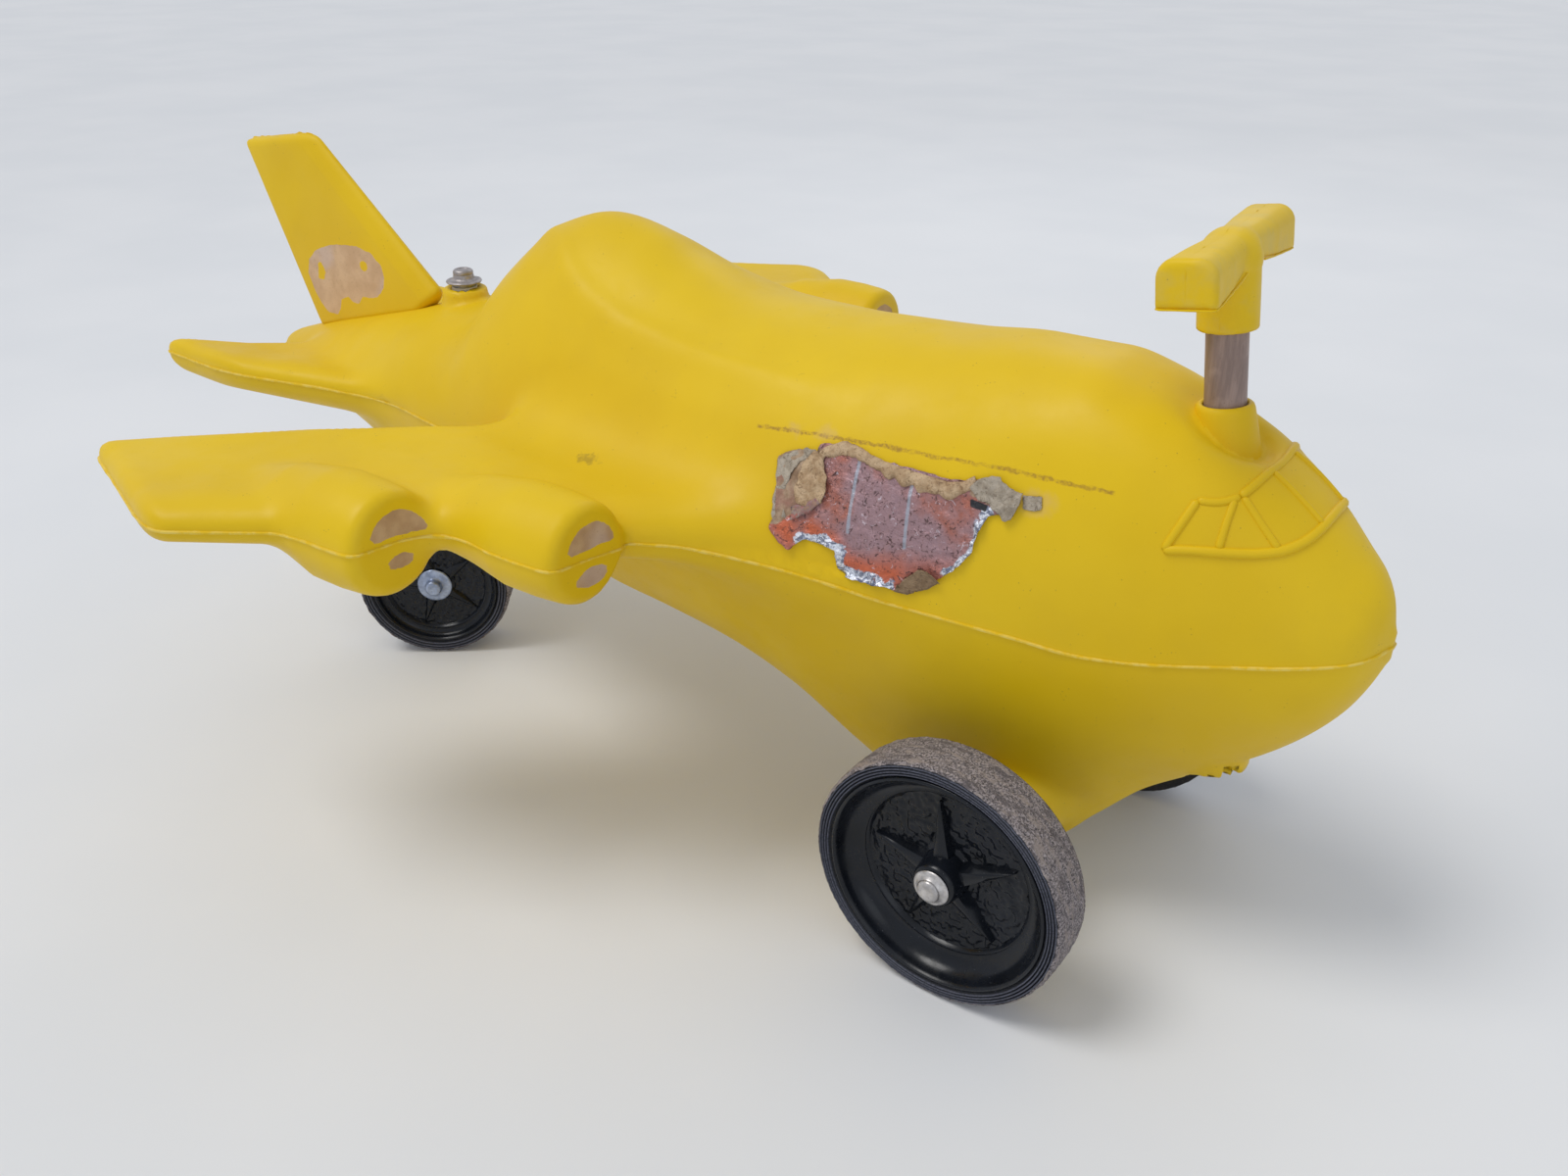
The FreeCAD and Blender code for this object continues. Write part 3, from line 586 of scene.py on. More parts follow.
def airframe(x, y, z):
    """The outside of the moulded airframe."""
    out = np.abs(y)
    wings = wing(x, out, z)
    for centre in PODS:
        wings = blend(wings, pod(x, out, z, centre), reach=8.5)
    body = blend(fuselage(x, y, z), wings, reach=37)
    body = blend(body, tailplane(x, out, z), reach=16) - ridge_lift(x, out, z)

    # handle tube: h along the tube from its top, tube = distance from its axis
    off_x, off_z = x - TUBE_TOP[0], z - TUBE_TOP[2]
    h = off_x * TUBE_AXIS[0] + off_z * TUBE_AXIS[2]
    tube = np.sqrt((off_x - h * TUBE_AXIS[0]) ** 2 + y ** 2 + (off_z - h * TUBE_AXIS[2]) ** 2)
    above_foot = h + TUBE_LENGTH
    # hollow round the collar, deepest ahead of it
    ahead = off_x / (tube + 4)
    hollow = 11 * np.exp(-((tube - 15.5) / 9.5) ** 2) * np.clip(0.52 + 0.48 * ahead, 0, 1)
    body = body + hollow * np.clip((z - 255) / 20, 0, 1)
    collar = rounded(h + 6, (tube - (13.2 - h * 0.17)) * 0.98, 1)
    body = blend(body, np.maximum(collar, 240 - z), reach=5)
    socket = rounded(5 - above_foot, tube - 18.6, 2)
    body = blend(body, np.maximum(socket, z - 160), reach=5)

    # caster stem: bosses above and below
    stem = np.hypot(x - STEM_X, y)
    boss = rounded(z - 295, stem - 15.8 + (z - 295) * 0.09, 3)
    body = blend(body, np.maximum(boss, 220 - z), reach=5)
    boss = rounded(138.2 - z, stem - 21, 3)
    body = blend(body, np.maximum(boss, z - 180), reach=8)

    # tapering bosses along the front axle
    axle = np.hypot(x, z - FRONT_RADIUS)
    boss = rounded(out - 76, axle - np.interp(out, [20, 76], [30, 15]), 2)
    body = blend(body, np.maximum(boss, 10 - out), reach=10)

    # bores: handle tube, caster stem, front axle
    body = np.maximum(body, -np.maximum(tube - 14.6, above_foot - 19.6))
    for bore, distance in ((11.3, tube), (9.1, stem), (5.8, axle)):
        body = np.maximum(body, bore - distance)
    return body


def seam_height(x, out):
    """Height of the parting line: the widest level of the fuselage, then the wings' middle."""
    widest = monotone_curve(FUSELAGE[:, 0], FUSELAGE[:, 2], x)
    on_wing = np.clip((out - 96) / 40, 0, 1)
    on_tail = np.clip((out - 60) / 30, 0, 1)
    front = widest * (1 - on_wing) + wing_middle(out) * on_wing
    back = widest * (1 - on_tail) + tailplane_middle(out) * on_tail
    rearward = np.where(out > 165, 0, np.clip((-x - 420) / 60, 0, 1))
    return front * (1 - rearward) + back * rearward


# ---- materials ------------------------------------------------------------------
class Shader:
    """A material and short ways to add nodes; arguments are numbers or node outputs."""

    def __init__(self, name):
        self.material = bpy.data.materials.new(name)
        self.material.use_nodes = True
        self.tree = self.material.node_tree
        self.surface = next(n for n in self.tree.nodes if n.type == "BSDF_PRINCIPLED")
        self.place = self.node("ShaderNodeTexCoord", "Object")

    def put(self, socket, value):
        if isinstance(value, bpy.types.NodeSocket):
            self.tree.links.new(value, socket)
        elif socket.type == "RGBA":
            socket.default_value = (*value, 1.0)
        else:
            socket.default_value = value

    def node(self, kind, output, inputs=None, **settings):
        node = self.tree.nodes.new(kind)
        for key, value in settings.items():
            setattr(node, key, value)
        for key, value in (inputs or {}).items():
            self.put(node.inputs[key], value)
        return node.outputs[output]

    def noise(self, scale, detail=3, rough=0.55, at=None, distortion=0):
        return self.node("ShaderNodeTexNoise", "Fac", {
            "Vector": at or self.place, "Scale": scale, "Detail": detail,
            "Roughness": rough, "Distortion": distortion})

    def cells(self, scale):
        inputs = {"Vector": self.place, "Scale": scale}
        return self.node("ShaderNodeTexVoronoi", "Distance", inputs)

    def stretched(self, x, y, z):
        inputs = {"Vector": self.place, "Scale": (x, y, z)}
        return self.node("ShaderNodeMapping", "Vector", inputs)

    def attribute(self, name):
        return self.node("ShaderNodeAttribute", "Fac", attribute_name=name)

    def math(self, operation, first, second=0.0):
        return self.node("ShaderNodeMath", 0, {0: first, 1: second}, operation=operation)

    def plus(self, first, second):
        return self.math("ADD", first, second)

    def times(self, first, *others):
        for other in others:
            first = self.math("MULTIPLY", first, other)
        return first

    def wobble(self, by, **noise):
        return self.times(self.math("SUBTRACT", self.noise(**noise), 0.5), by)

    def frayed(self, name, **wobble):
        """Attribute with noise added."""
        return self.plus(self.attribute(name), self.wobble(**wobble))

    def ramp(self, field=None, span=(0, 1), to=(0, 1), **noise):
        """Smooth step of a field, or of noise, from span to the values in to."""
        return self.node("ShaderNodeMapRange", "Result", {
            "Value": field or self.noise(**noise), "From Min": span[0], "From Max": span[1],
            "To Min": to[0], "To Max": to[1]}, clamp=True, interpolation_type="SMOOTHSTEP")

    def mix(self, share, first, second):
        inputs = {0: share, 6: first, 7: second}
        return self.node("ShaderNodeMix", 2, inputs, data_type="RGBA")

    def tint(self, base, colour, **ramp):
        """Base with colour laid over it in the places the ramp picks."""
        return self.mix(self.ramp(**ramp), base, colour)

    def finish(self, colour, rough, relief, strength, distance, metallic=0.0, specular=0.5):
        normal = self.node("ShaderNodeBump", "Normal", {
            "Strength": strength, "Distance": distance, "Height": relief})
        for key, value in (("Base Color", colour), ("Roughness", rough), ("Normal", normal),
                           ("Metallic", metallic), ("Specular IOR Level", specular)):
            self.put(self.surface.inputs[key], value)
        return self.material


def yellow_plastic(name, patch=None, residue=False, veil=None):
    """Moulded yellow; patch holds the low, high and pale tones of bare patches,
    veil is one more tint."""
    mat = Shader(name)
    colour = mat.tint((0.735, 0.475, 0.004), (0.80, 0.535, 0.008), scale=7, span=(0.3, 0.7))
    colour = mat.tint(colour, (0.66, 0.43, 0.016), scale=38, detail=4, rough=0.6,
                      span=(0.40, 0.78), to=(0, 0.16))
    # greyish scuffs, stretched along the body, and fine dark specks
    scuff = mat.noise(scale=1, detail=5, rough=0.7, at=mat.stretched(60, 180, 240),
                      distortion=0.6)
    colour = mat.tint(colour, (0.58, 0.46, 0.13), field=scuff, span=(0.66, 0.82), to=(0, 0.26))
    specks = mat.times(mat.ramp(mat.cells(scale=420), span=(0.20, 0.08)),
                       mat.ramp(scale=95, detail=2, span=(0.60, 0.68)), 0.55)
    colour = mat.mix(specks, colour, (0.22, 0.13, 0.03))
    rough = mat.plus(mat.ramp(scale=22, detail=4, rough=0.65, span=(0.3, 0.75), to=(0.40, 0.58)),
                     mat.ramp(scuff, span=(0.6, 0.8), to=(0, 0.18)))
    grain = mat.plus(mat.times(mat.noise(scale=900, detail=2), 0.35),
                     mat.times(mat.noise(scale=70), 0.65))
    if residue:
        # a thin brown speckled line on the starboard side, a smudge and faint rubbed spots
        off = mat.math("ABSOLUTE", mat.frayed("line_off", by=3.2, scale=180, detail=2))
        line = mat.times(
            mat.ramp(off, span=(1.45, 0.5)),
            mat.ramp(mat.attribute("line_end"), span=(1.5, -1.5)),
            mat.ramp(scale=520, detail=4, rough=0.75, span=(0.40, 0.58), to=(0.22, 0.95)),
            mat.ramp(scale=60, rough=0.6, span=(0.34, 0.54), to=(0.5, 1)), 0.72)
        colour = mat.mix(line, colour, (0.27, 0.125, 0.03))
        smudge = mat.frayed("smudge", by=16, scale=240, detail=4, rough=0.7)
        smudge = mat.times(mat.ramp(smudge, span=(1.5, -2.5)), 0.55)
        colour = mat.mix(smudge, colour, (0.30, 0.19, 0.02))
        rub = mat.frayed("rub", by=9, scale=170, detail=4)
        rub = mat.times(mat.ramp(rub, span=(2.5, -2.5)), 0.30)
        colour = mat.mix(rub, colour, (0.62, 0.41, 0.22))
    if patch:
        low, high, pale = patch
        bare = mat.ramp(mat.frayed("patch", by=3, scale=110, rough=0.6), span=(0.25, -0.25))
        tone = mat.tint(low, high, scale=60, span=(0.35, 0.65))
        tone = mat.tint(tone, pale, scale=24, detail=2, span=(0.50, 0.68), to=(0, 0.5))
        tone = mat.tint(tone, (0.34, 0.21, 0.11), scale=480, rough=0.7,
                        span=(0.55, 0.7), to=(0, 0.35))
        colour = mat.mix(bare, colour, tone)
        rough = mat.plus(rough, mat.times(bare, 0.28))
        grain = mat.plus(grain, mat.times(bare, mat.noise(scale=1400, detail=2), 0.8))
    if veil:
        colour = mat.tint(colour, **veil)
    return mat.finish(colour, rough, grain, strength=0.22, distance=0.0005, specular=0.25)


def tyre_rubber():
    """Dark ribbed sides with a bluish highlight painted along the rib crests, and a pale worn
    tread.
    """
    mat = Shader("worn_tyre")
    fine = mat.noise(scale=900, detail=4, rough=0.75)
    streak = mat.attribute("streak")
    side = mat.tint((0.006, 0.007, 0.011), (0.030, 0.032, 0.046), field=fine, span=(0.45, 0.75))
    # bluish highlight painted on the crests of the side ribs, broken up by fine noise
    crest = mat.ramp(fine, span=(0.36, 0.58), to=(0.25, 0.85))
    side = mat.mix(mat.times(mat.attribute("crest"), crest), side, (0.14, 0.148, 0.20))
    tread = mat.tint((0.060, 0.052, 0.054), (0.43, 0.375, 0.375), field=fine, span=(0.38, 0.64))
    tread = mat.tint(tread, (0.34, 0.285, 0.255), field=streak, span=(0.15, 0.75), to=(0, 0.7))
    tread = mat.tint(tread, (0.10, 0.085, 0.087), field=streak, span=(-0.15, -0.75),
                     to=(0, 0.7))
    tread = mat.tint(tread, (0.05, 0.044, 0.046), scale=260, rough=0.7,
                     span=(0.60, 0.74), to=(0, 0.8))
    worn = mat.ramp(mat.frayed("worn", by=0.55, scale=500), span=(0.35, 0.65))
    colour = mat.mix(worn, side, tread)
    colour = mat.tint(colour, (0.34, 0.33, 0.35), scale=1500, detail=2,
                      span=(0.66, 0.74), to=(0, 0.4))
    relief = mat.plus(fine, mat.noise(scale=2200, detail=2))
    return mat.finish(colour, mat.ramp(worn, to=(0.48, 0.93)), relief,
                      strength=0.8, distance=0.0006)


def black_plastic():
    mat = Shader("gloss_black_plastic")
    colour = mat.tint((0.004, 0.005, 0.007), (0.009, 0.011, 0.016),
                      scale=25, detail=4, span=(0.3, 0.7))
    dust = mat.times(mat.ramp(mat.cells(scale=520), span=(0.14, 0.05)),
                     mat.ramp(scale=80, detail=2, span=(0.55, 0.66), to=(0, 0.55)))
    colour = mat.mix(dust, colour, (0.30, 0.30, 0.33))
    rough = mat.ramp(scale=60, detail=5, rough=0.7, span=(0.35, 0.75), to=(0.17, 0.36))
    return mat.finish(colour, rough, mat.noise(scale=300), strength=0.12, distance=0.0004,
                      specular=0.32)


def metal(name, dark, light, spots, rough, metallic):
    mat = Shader(name)
    colour = mat.tint(dark, light, scale=160, detail=5, rough=0.65, span=(0.35, 0.68))
    colour = mat.tint(colour, spots, scale=420, detail=4, rough=0.7,
                      span=(0.60, 0.72), to=(0, 0.55))
    rough = mat.ramp(scale=240, detail=4, rough=0.6, span=(0.3, 0.7), to=rough)
    return mat.finish(colour, rough, mat.noise(scale=700), strength=0.25, distance=0.0003,
                      metallic=metallic)


def tube_finish():
    mat = Shader("streaked_tube")
    streak = mat.noise(scale=1, detail=5, rough=0.62, at=mat.stretched(260, 260, 26))
    colour = mat.tint((0.235, 0.165, 0.140), (0.380, 0.275, 0.235), field=streak,
                      span=(0.33, 0.70))
    colour = mat.tint(colour, (0.47, 0.35, 0.30), scale=70, span=(0.52, 0.72), to=(0, 0.45))
    colour = mat.tint(colour, (0.15, 0.10, 0.08), scale=520, rough=0.7,
                      span=(0.62, 0.74), to=(0, 0.4))
    rough = mat.ramp(streak, span=(0.3, 0.7), to=(0.38, 0.60))
    return mat.finish(colour, rough, streak, strength=0.25, distance=0.0003, metallic=0.15)


def nylon_finish():
    mat = Shader("natural_nylon")
    colour = mat.tint((0.62, 0.60, 0.54), (0.74, 0.72, 0.66), scale=90, detail=4,
                      span=(0.35, 0.7))
    colour = mat.tint(colour, (0.30, 0.27, 0.22), scale=340, rough=0.7,
                      span=(0.58, 0.74), to=(0, 0.5))
    rough = mat.ramp(scale=160, span=(0.3, 0.7), to=(0.42, 0.6))
    return mat.finish(colour, rough, mat.noise(scale=500, detail=2),
                      strength=0.15, distance=0.0003)


def foil_finish():
    """Red foil with silver, striped, dark and bare paper areas set by attributes; a highlight is
    painted along the creases of the red and reflections on the creased silver.
    """
    mat = Shader("torn_foil")
    wobble = mat.wobble(by=4.6, scale=380, detail=4, rough=0.7)
    crease_and_painted_sheen = mat.noise(scale=210, detail=5, rough=0.72, distortion=1.4)
    blotch = mat.noise(scale=95, detail=4, rough=0.7)
    red = mat.tint((0.43, 0.150, 0.105), (0.40, 0.205, 0.195), field=blotch, span=(0.35, 0.66))
    red = mat.tint(red, (0.37, 0.240, 0.262), scale=30, span=(0.38, 0.58), to=(0, 0.9))
    red = mat.tint(red, (0.52, 0.165, 0.115), field=mat.attribute("low"),
                   span=(0, 14), to=(0.75, 0))
    red = mat.tint(red, (0.62, 0.135, 0.05), field=mat.attribute("hot"),
                   span=(5, -5), to=(0, 0.85))
    red = mat.tint(red, (0.075, 0.038, 0.036), scale=330, detail=5, rough=0.75, distortion=1,
                   span=(0.545, 0.62), to=(0, 0.9))
    # pale pink highlight painted along the raised creases of the red foil
    red = mat.tint(red, (0.74, 0.64, 0.70), field=crease_and_painted_sheen, span=(0.60, 0.68), to=(0, 0.85))
    # the silver is painted from dark bluish to bright along the creases: painted reflections on
    # its facets
    silver = mat.tint((0.20, 0.22, 0.30), (0.86, 0.89, 0.97), field=crease_and_painted_sheen, span=(0.42, 0.58))

    def area(name, edge, fray=None, to=(0, 1)):
        by = mat.times(wobble, fray) if fray else wobble
        return mat.ramp(mat.plus(mat.attribute(name), by), span=(edge, -edge), to=to)

    shiny = area("silver", edge=0.4)
    colour = mat.mix(shiny, red, silver)
    stripe = area("stripe", edge=0.25, fray=0.22, to=(0, 0.8))
    colour = mat.mix(stripe, colour, (0.40, 0.43, 0.50))
    dark = area("dark", edge=0.2, fray=0.15)
    colour = mat.mix(dark, colour, (0.012, 0.013, 0.018))
    paper = area("paper", edge=0.4)
    fibre = mat.tint((0.27, 0.165, 0.095), (0.50, 0.36, 0.24), scale=120, detail=4, rough=0.7,
                     span=(0.35, 0.68))
    fibre = mat.tint(fibre, (0.36, 0.17, 0.13), scale=44, span=(0.48, 0.66), to=(0, 0.8))
    colour = mat.mix(paper, colour, fibre)
    metallic = mat.times(mat.math("SUBTRACT", 1.0, paper), mat.math("SUBTRACT", 1.0, dark),
                         mat.plus(mat.times(shiny, 0.45), 0.45))
    rough = mat.plus(mat.ramp(blotch, span=(0.3, 0.7), to=(0.24, 0.46)),
                     mat.times(paper, 0.45))
    relief = mat.plus(crease_and_painted_sheen, mat.noise(scale=650, rough=0.7))
    return mat.finish(colour, rough, relief, strength=0.75, distance=0.0008, metallic=metallic)


def paper_finish(name, dark, light, stain):
    mat = Shader(name)
    colour = mat.tint(dark, light, scale=160, detail=5, rough=0.7, span=(0.34, 0.66))
    colour = mat.tint(colour, stain, scale=300, detail=5, rough=0.75, distortion=1.2,
                      span=(0.53, 0.63), to=(0, 0.75))
    rough = mat.ramp(scale=220, span=(0.3, 0.7), to=(0.72, 0.92))
    relief = mat.plus(mat.noise(scale=260, detail=4, rough=0.7, distortion=0.8),
                      mat.noise(scale=1200, detail=2))
    return mat.finish(colour, rough, relief, strength=0.85, distance=0.0009)


YELLOW_BODY = yellow_plastic("yellow_body", residue=True, patch=(
    (0.44, 0.265, 0.125), (0.56, 0.365, 0.185), (0.52, 0.40, 0.34)))
YELLOW_FIN = yellow_plastic("yellow_fin", patch=(
    (0.58, 0.385, 0.235), (0.68, 0.475, 0.30), (0.60, 0.50, 0.48)))
YELLOW = yellow_plastic("yellow_plain")
YELLOW_GRIP = yellow_plastic("yellow_grip", veil=dict(
    colour=(0.60, 0.46, 0.12), scale=45, detail=4, rough=0.6, span=(0.45, 0.7), to=(0, 0.38)))
# paler cream tone for the parting line flash, which also stands in as a painted highlight along
# its ridge
YELLOW_FLASH_PAINTED_HIGHLIGHT = yellow_plastic("yellow_flash_painted_highlight", veil=dict(
    colour=(0.80, 0.64, 0.17), scale=130, detail=4, rough=0.7,
    span=(0.38, 0.62), to=(0.05, 0.6)))
RUBBER = tyre_rubber()
BLACK = black_plastic()
CAP_ZINC = metal("dull_zinc", dark=(0.42, 0.40, 0.39), light=(0.66, 0.63, 0.61),
                 spots=(0.20, 0.16, 0.13), rough=(0.30, 0.52), metallic=0.75)
BLUE_ZINC = metal("blue_zinc", dark=(0.27, 0.32, 0.44), light=(0.46, 0.53, 0.68),
                  spots=(0.16, 0.17, 0.20), rough=(0.28, 0.50), metallic=0.75)
NUT_ZINC = metal("grey_zinc", dark=(0.30, 0.27, 0.265), light=(0.46, 0.42, 0.41),
                 spots=(0.16, 0.12, 0.10), rough=(0.34, 0.55), metallic=0.55)
STEEL = metal("dulled_steel", dark=(0.20, 0.20, 0.21), light=(0.40, 0.40, 0.42),
              spots=(0.13, 0.075, 0.045), rough=(0.28, 0.50), metallic=0.95)
YOKE_PLATE = metal("yoke_plate", dark=(0.10, 0.10, 0.11), light=(0.22, 0.22, 0.24),
                   spots=(0.14, 0.07, 0.035), rough=(0.35, 0.58), metallic=0.9)
TUBE = tube_finish()
NYLON = nylon_finish()
FOIL = foil_finish()
TAN_PAPER = paper_finish("torn_paper", dark=(0.40, 0.255, 0.135), light=(0.62, 0.445, 0.27),
                         stain=(0.20, 0.11, 0.05))
GREY_PAPER = paper_finish("grey_paper", dark=(0.33, 0.27, 0.20), light=(0.50, 0.43, 0.34),
                          stain=(0.17, 0.13, 0.09))
LABEL_BACK = paper_finish("label_back", dark=(0.20, 0.125, 0.065), light=(0.31, 0.21, 0.12),
                          stain=(0.11, 0.06, 0.03))

# ---- airframe skin --------------------------------------------------------------
# Brown line on the starboard side: x, height
RESIDUE = np.array([(-155, 289), (-120, 291.3), (-73, 293), (-19, 294.3), (45, 293)], float)
RUBS = ((8, 281, 6), (-132, 292, 2.5), (-112, 293, 3))  # x, z, radius, starboard side
# Lower lobe of the bare patch on each pod's face: shift in y, stretch in y, drop, radius
PATCH_LOBES = ((2.0, 1.9, 11.5, 4.6), (1.0, 2.1, 12.6, 5.6))


def pod_patches(x, y, z):
    """Distance to the bare patches on the front faces of the pods."""
    patch = np.full(len(x), 60.0)
    for (face, middle, height), (shift, stretch, drop, radius) in zip(PODS, PATCH_LOBES):
        for side in (1, -1):
            across, up = side * y - middle, z - height
            upper = np.maximum(np.hypot((across + 1.6) / 1.04, up - 1.2) - 17,
                               3.6 - up + 0.05 * across)
            lower = np.hypot((across + shift) / stretch, up + drop) - radius
            behind = np.maximum(face - 5.0 - x, 0) * 6
            patch = np.minimum(patch, np.minimum(upper, lower) + behind)
    return patch


def build_airframe():
    verts, quads = solid_mesh(airframe, (-722, 0, 4), (180, 330, 376), step=3.6, mirrored=True)
    x, y, z = verts.T
    rub = np.full(len(verts), 40.0)
    for at_x, at_z, radius in RUBS:
        spot = np.hypot((x - at_x) * 0.6, z - at_z) - radius
        rub = np.minimum(rub, np.where(y < 0, spot, 40))
    line_off = np.where(y < 0, z - np.interp(x, RESIDUE[:, 0], RESIDUE[:, 1]), 50)
    smudge = np.hypot((x + 255) * 0.55, y + 118) - 4
    build_yellow("airframe_skin", verts, quads, YELLOW_BODY, replaces=("body_shell",),
                 attributes={
                     "patch": pod_patches(x, y, z),
                     "line_off": line_off,
                     "line_end": np.maximum(RESIDUE[0, 0] - x, x - RESIDUE[-1, 0]),
                     "rub": rub,
                     "smudge": np.where(y < -100, smudge, 40)})

    # parting line flash: a thin irregular bead round the whole moulding
    beads = []
    level = z - seam_height(x, np.abs(y))
    for points, closed in seam_chains(verts, quads, level, fewest=60, step=2.6, passes=2):
        points = project(airframe, points, passes=2, limit=2)
        uneven = noise(points, 9, 3) * 0.5 + noise(points, 31, 4) * 0.5
        lump = np.clip(noise(points, 13, 9) - 0.55, 0, 1) * 2.2
        beads.append(sweep(points, normals_on(airframe, points),
                           width=2 + 0.6 * uneven + lump * 0.7,
                           height=1.45 + 0.5 * uneven + lump, sink=0.30, closed=closed))
    build_yellow("parting_flash", *join(beads), YELLOW_FLASH_PAINTED_HIGHLIGHT, sharp=60)


build_airframe()


# ---- windscreen ribs ------------------------------------------------------------
def mirrored(points):
    return [(x, -y, z) for x, y, z in points]


def both_sides(half):
    """Starboard half that ends on the middle plane, carried on to port."""
    return half + mirrored(half[:-1])[::-1]


RIB_CORNER = (73, -62.1, 270.3)
SILL = both_sides([
    RIB_CORNER, (79, -60.2, 271.6), (87, -57.6, 272.4), (96, -54.2, 272.8),
    (104.4, -50, 272.9), (111.4, -46, 273.2), (117.3, -42, 273.9), (121.9, -38, 274.7),
    (125.5, -34, 276.1), (128.5, -29.5, 277.8), (131, -24.3, 279.9), (132.6, -18.4, 282),
    (133.6, -12.5, 283.6), (134, -6.3, 284.6), (134.2, 0, 285)])
HEADER = both_sides([(98.4, -39.4, 297.2), (102, -29.2, 301.4), (104, -18, 304),
                     (104.8, -9, 305), (105, 0, 305.2)])
# Ribs of the starboard side: name, points, width, height
SIDE_RIBS = (
    ("side_header", [(82, -50.8, 294.9), (89.5, -47.7, 294.5), (94.6, -43.9, 295.5),
                     (98.4, -39.4, 297.2)], 4.2, 1.7),
    ("rear_frame", [RIB_CORNER, (78, -57.3, 283.7), (82, -50.8, 294.9)], 4.6, 2.0),
    ("side_pillar", [(96.6, -41.8, 296.3), (96.6, -48.4, 287), (96.4, -53.8, 274.1)], 4.2, 1.8),
    ("front_pillar", [(99.6, -38.7, 297), (109.6, -39.8, 286.9), (120.3, -39.4, 275.4)],
     4.2, 1.8),
    ("centre_pillar", [(104.8, -15.6, 304), (118.8, -16.2, 294.5), (132.4, -15.8, 283)],
     4.1, 1.9))


def build_rib(name, points, width, height):
    points = relax(resample(points, 1.6), closed=False, passes=3)
    points = project(airframe, points, passes=4, limit=6)
    from_start = np.arange(len(points))
    taper = np.clip(np.minimum(from_start, from_start[::-1]) / 2.0 + 0.55, 0, 1)
    rib = sweep(points, normals_on(airframe, points), sink=0.45, sides=10, height=height * taper,
                width=width * (1 + 0.06 * noise(points, 12, 5)) * taper)
    build_yellow(name, *rib, YELLOW, sharp=70)


build_rib("windscreen_sill", SILL, width=5.2, height=2.5)
build_rib("windscreen_header", HEADER, width=4.8, height=2.2)
for name, points, width, height in SIDE_RIBS:
    build_rib(name + "_right", points, width, height)
for name, points, width, height in SIDE_RIBS:
    build_rib(name + "_left", mirrored(points), width, height)

# crisp cone round the handle tube: distance along the tube from its top, radius
COLLAR = [(-44, 12.2), (-44, 20.6), (-36, 19.7), (-24, 17.9), (-12, 16), (-5, 14.85),
          (-2.4, 14.35), (-1, 13.8), (-0.25, 13), (0, 12.1), (-0.2, 11.3), (-0.8, 10.85),
          (-2.2, 10.7), (-8, 10.7), (-20, 10.9)]
collar = dented_lathe(COLLAR, TUBE_TOP, TUBE_AXIS, PORT, segments=110,
                      depth=0.10, scale=9, seed=701)
build_yellow("nose_cone_collar", *collar, YELLOW, sharp=55)

# ---- tail fin, outlined in x and z ----------------------------------------------
FIN = (edge_line((-515, 288), (-637, 388), (1, 1), 17),
       edge_line((-637, 387.5), (-712, 377), (0, 1), 7.5),
       edge_line((-723, 376), (-655, 238), (-1, 0), 7),
       edge_line((-655, 236), (-530, 269), (0, -1), 5),
       edge_line((-530, 269), (-513, 284), (1, -1), 7))
# Bare patch on the starboard side, and an island of yellow in it: x, z
FIN_PATCH = [(-656, 291), (-645, 300), (-631, 305), (-618, 308), (-594, 310), (-578, 307),
             (-568, 300), (-565, 291), (-567, 282), (-575, 275), (-585, 272), (-593, 272),
             (-600, 265), (-606, 265), (-612, 269), (-621, 265), (-624, 257), (-628, 252),
             (-639, 252), (-647, 258), (-653, 266), (-659, 280)]
FIN_ISLAND = [(-645, 290), (-641, 292), (-638, 288), (-637, 284), (-639, 278), (-647, 277),
              (-646, 282)]


def fin_shape(x, y, z):
    half = np.interp(z, [245, 385], [11, 6.8])
    # the flat sides end in a long bevel towards the leading edge
    lead = FIN[0][0] * x + FIN[0][1] * z - FIN[0][2]
    half = half * np.interp(-lead, [0, 4, 14, 26], [0.62, 0.78, 0.95, 1])
    plate = slab(x, z, y, FIN, 0, half, half)
    corner = np.hypot(x + 713, z - 366.5) - 9.5
    return np.maximum(plate, np.where((x < -713) & (z > 366.5), corner, -50))


def build_fin():
    verts, quads = solid_mesh(fin_shape, (-735, -16, 225), (-500, 16, 400), step=1.7, passes=3)
    x, y, z = verts.T
    patch = np.maximum(polygon_distance(x, z, FIN_PATCH), -polygon_distance(x, z, FIN_ISLAND))
    patch = np.maximum(patch, -(np.hypot((x + 588) * 0.8, z - 296) - 4))  # a round island
    build_yellow("fin_skin", verts, quads, YELLOW_FIN, replaces=("tail_fin",),
                 attributes={"patch": np.where(y < -1, patch, 60)})

    beads = []
    for points, closed in seam_chains(verts, quads, y - 0.01, fewest=40, step=2, passes=1):
        if closed:  # drop the buried foot, and start the chain after the gap it leaves
            points = points[points[:, 2] > 262]
        jump = np.linalg.norm(np.diff(points, axis=0), axis=1)
        if jump.max() > 8:
            points = np.roll(points, -int(np.argmax(jump)) - 1, 0)
        uneven = noise(points, 7, 21)
        lump = np.clip(noise(points, 5, 23) - 0.35, 0, 1)
        lump = lump * np.where(points[:, 2] > 368, 2.4, 0.8)
        beads.append(sweep(points, normals_on(fin_shape, points),
                           width=0.9 + 0.3 * uneven + 0.2 * lump,
                           height=0.5 + 0.25 * uneven + lump, sink=0.25))
    build_yellow("fin_flash", *join(beads), YELLOW, sharp=60)


build_fin()


# ---- handle grip ----------------------------------------------------------------
def handle_local(x, y, z):
    """Forward, to port and along the tube, from the tube's top."""
    off = np.stack([x - TUBE_TOP[0], y, z - TUBE_TOP[2]], -1)
    return off @ HANDLE_FRONT, off @ HANDLE_PORT, off @ TUBE_AXIS


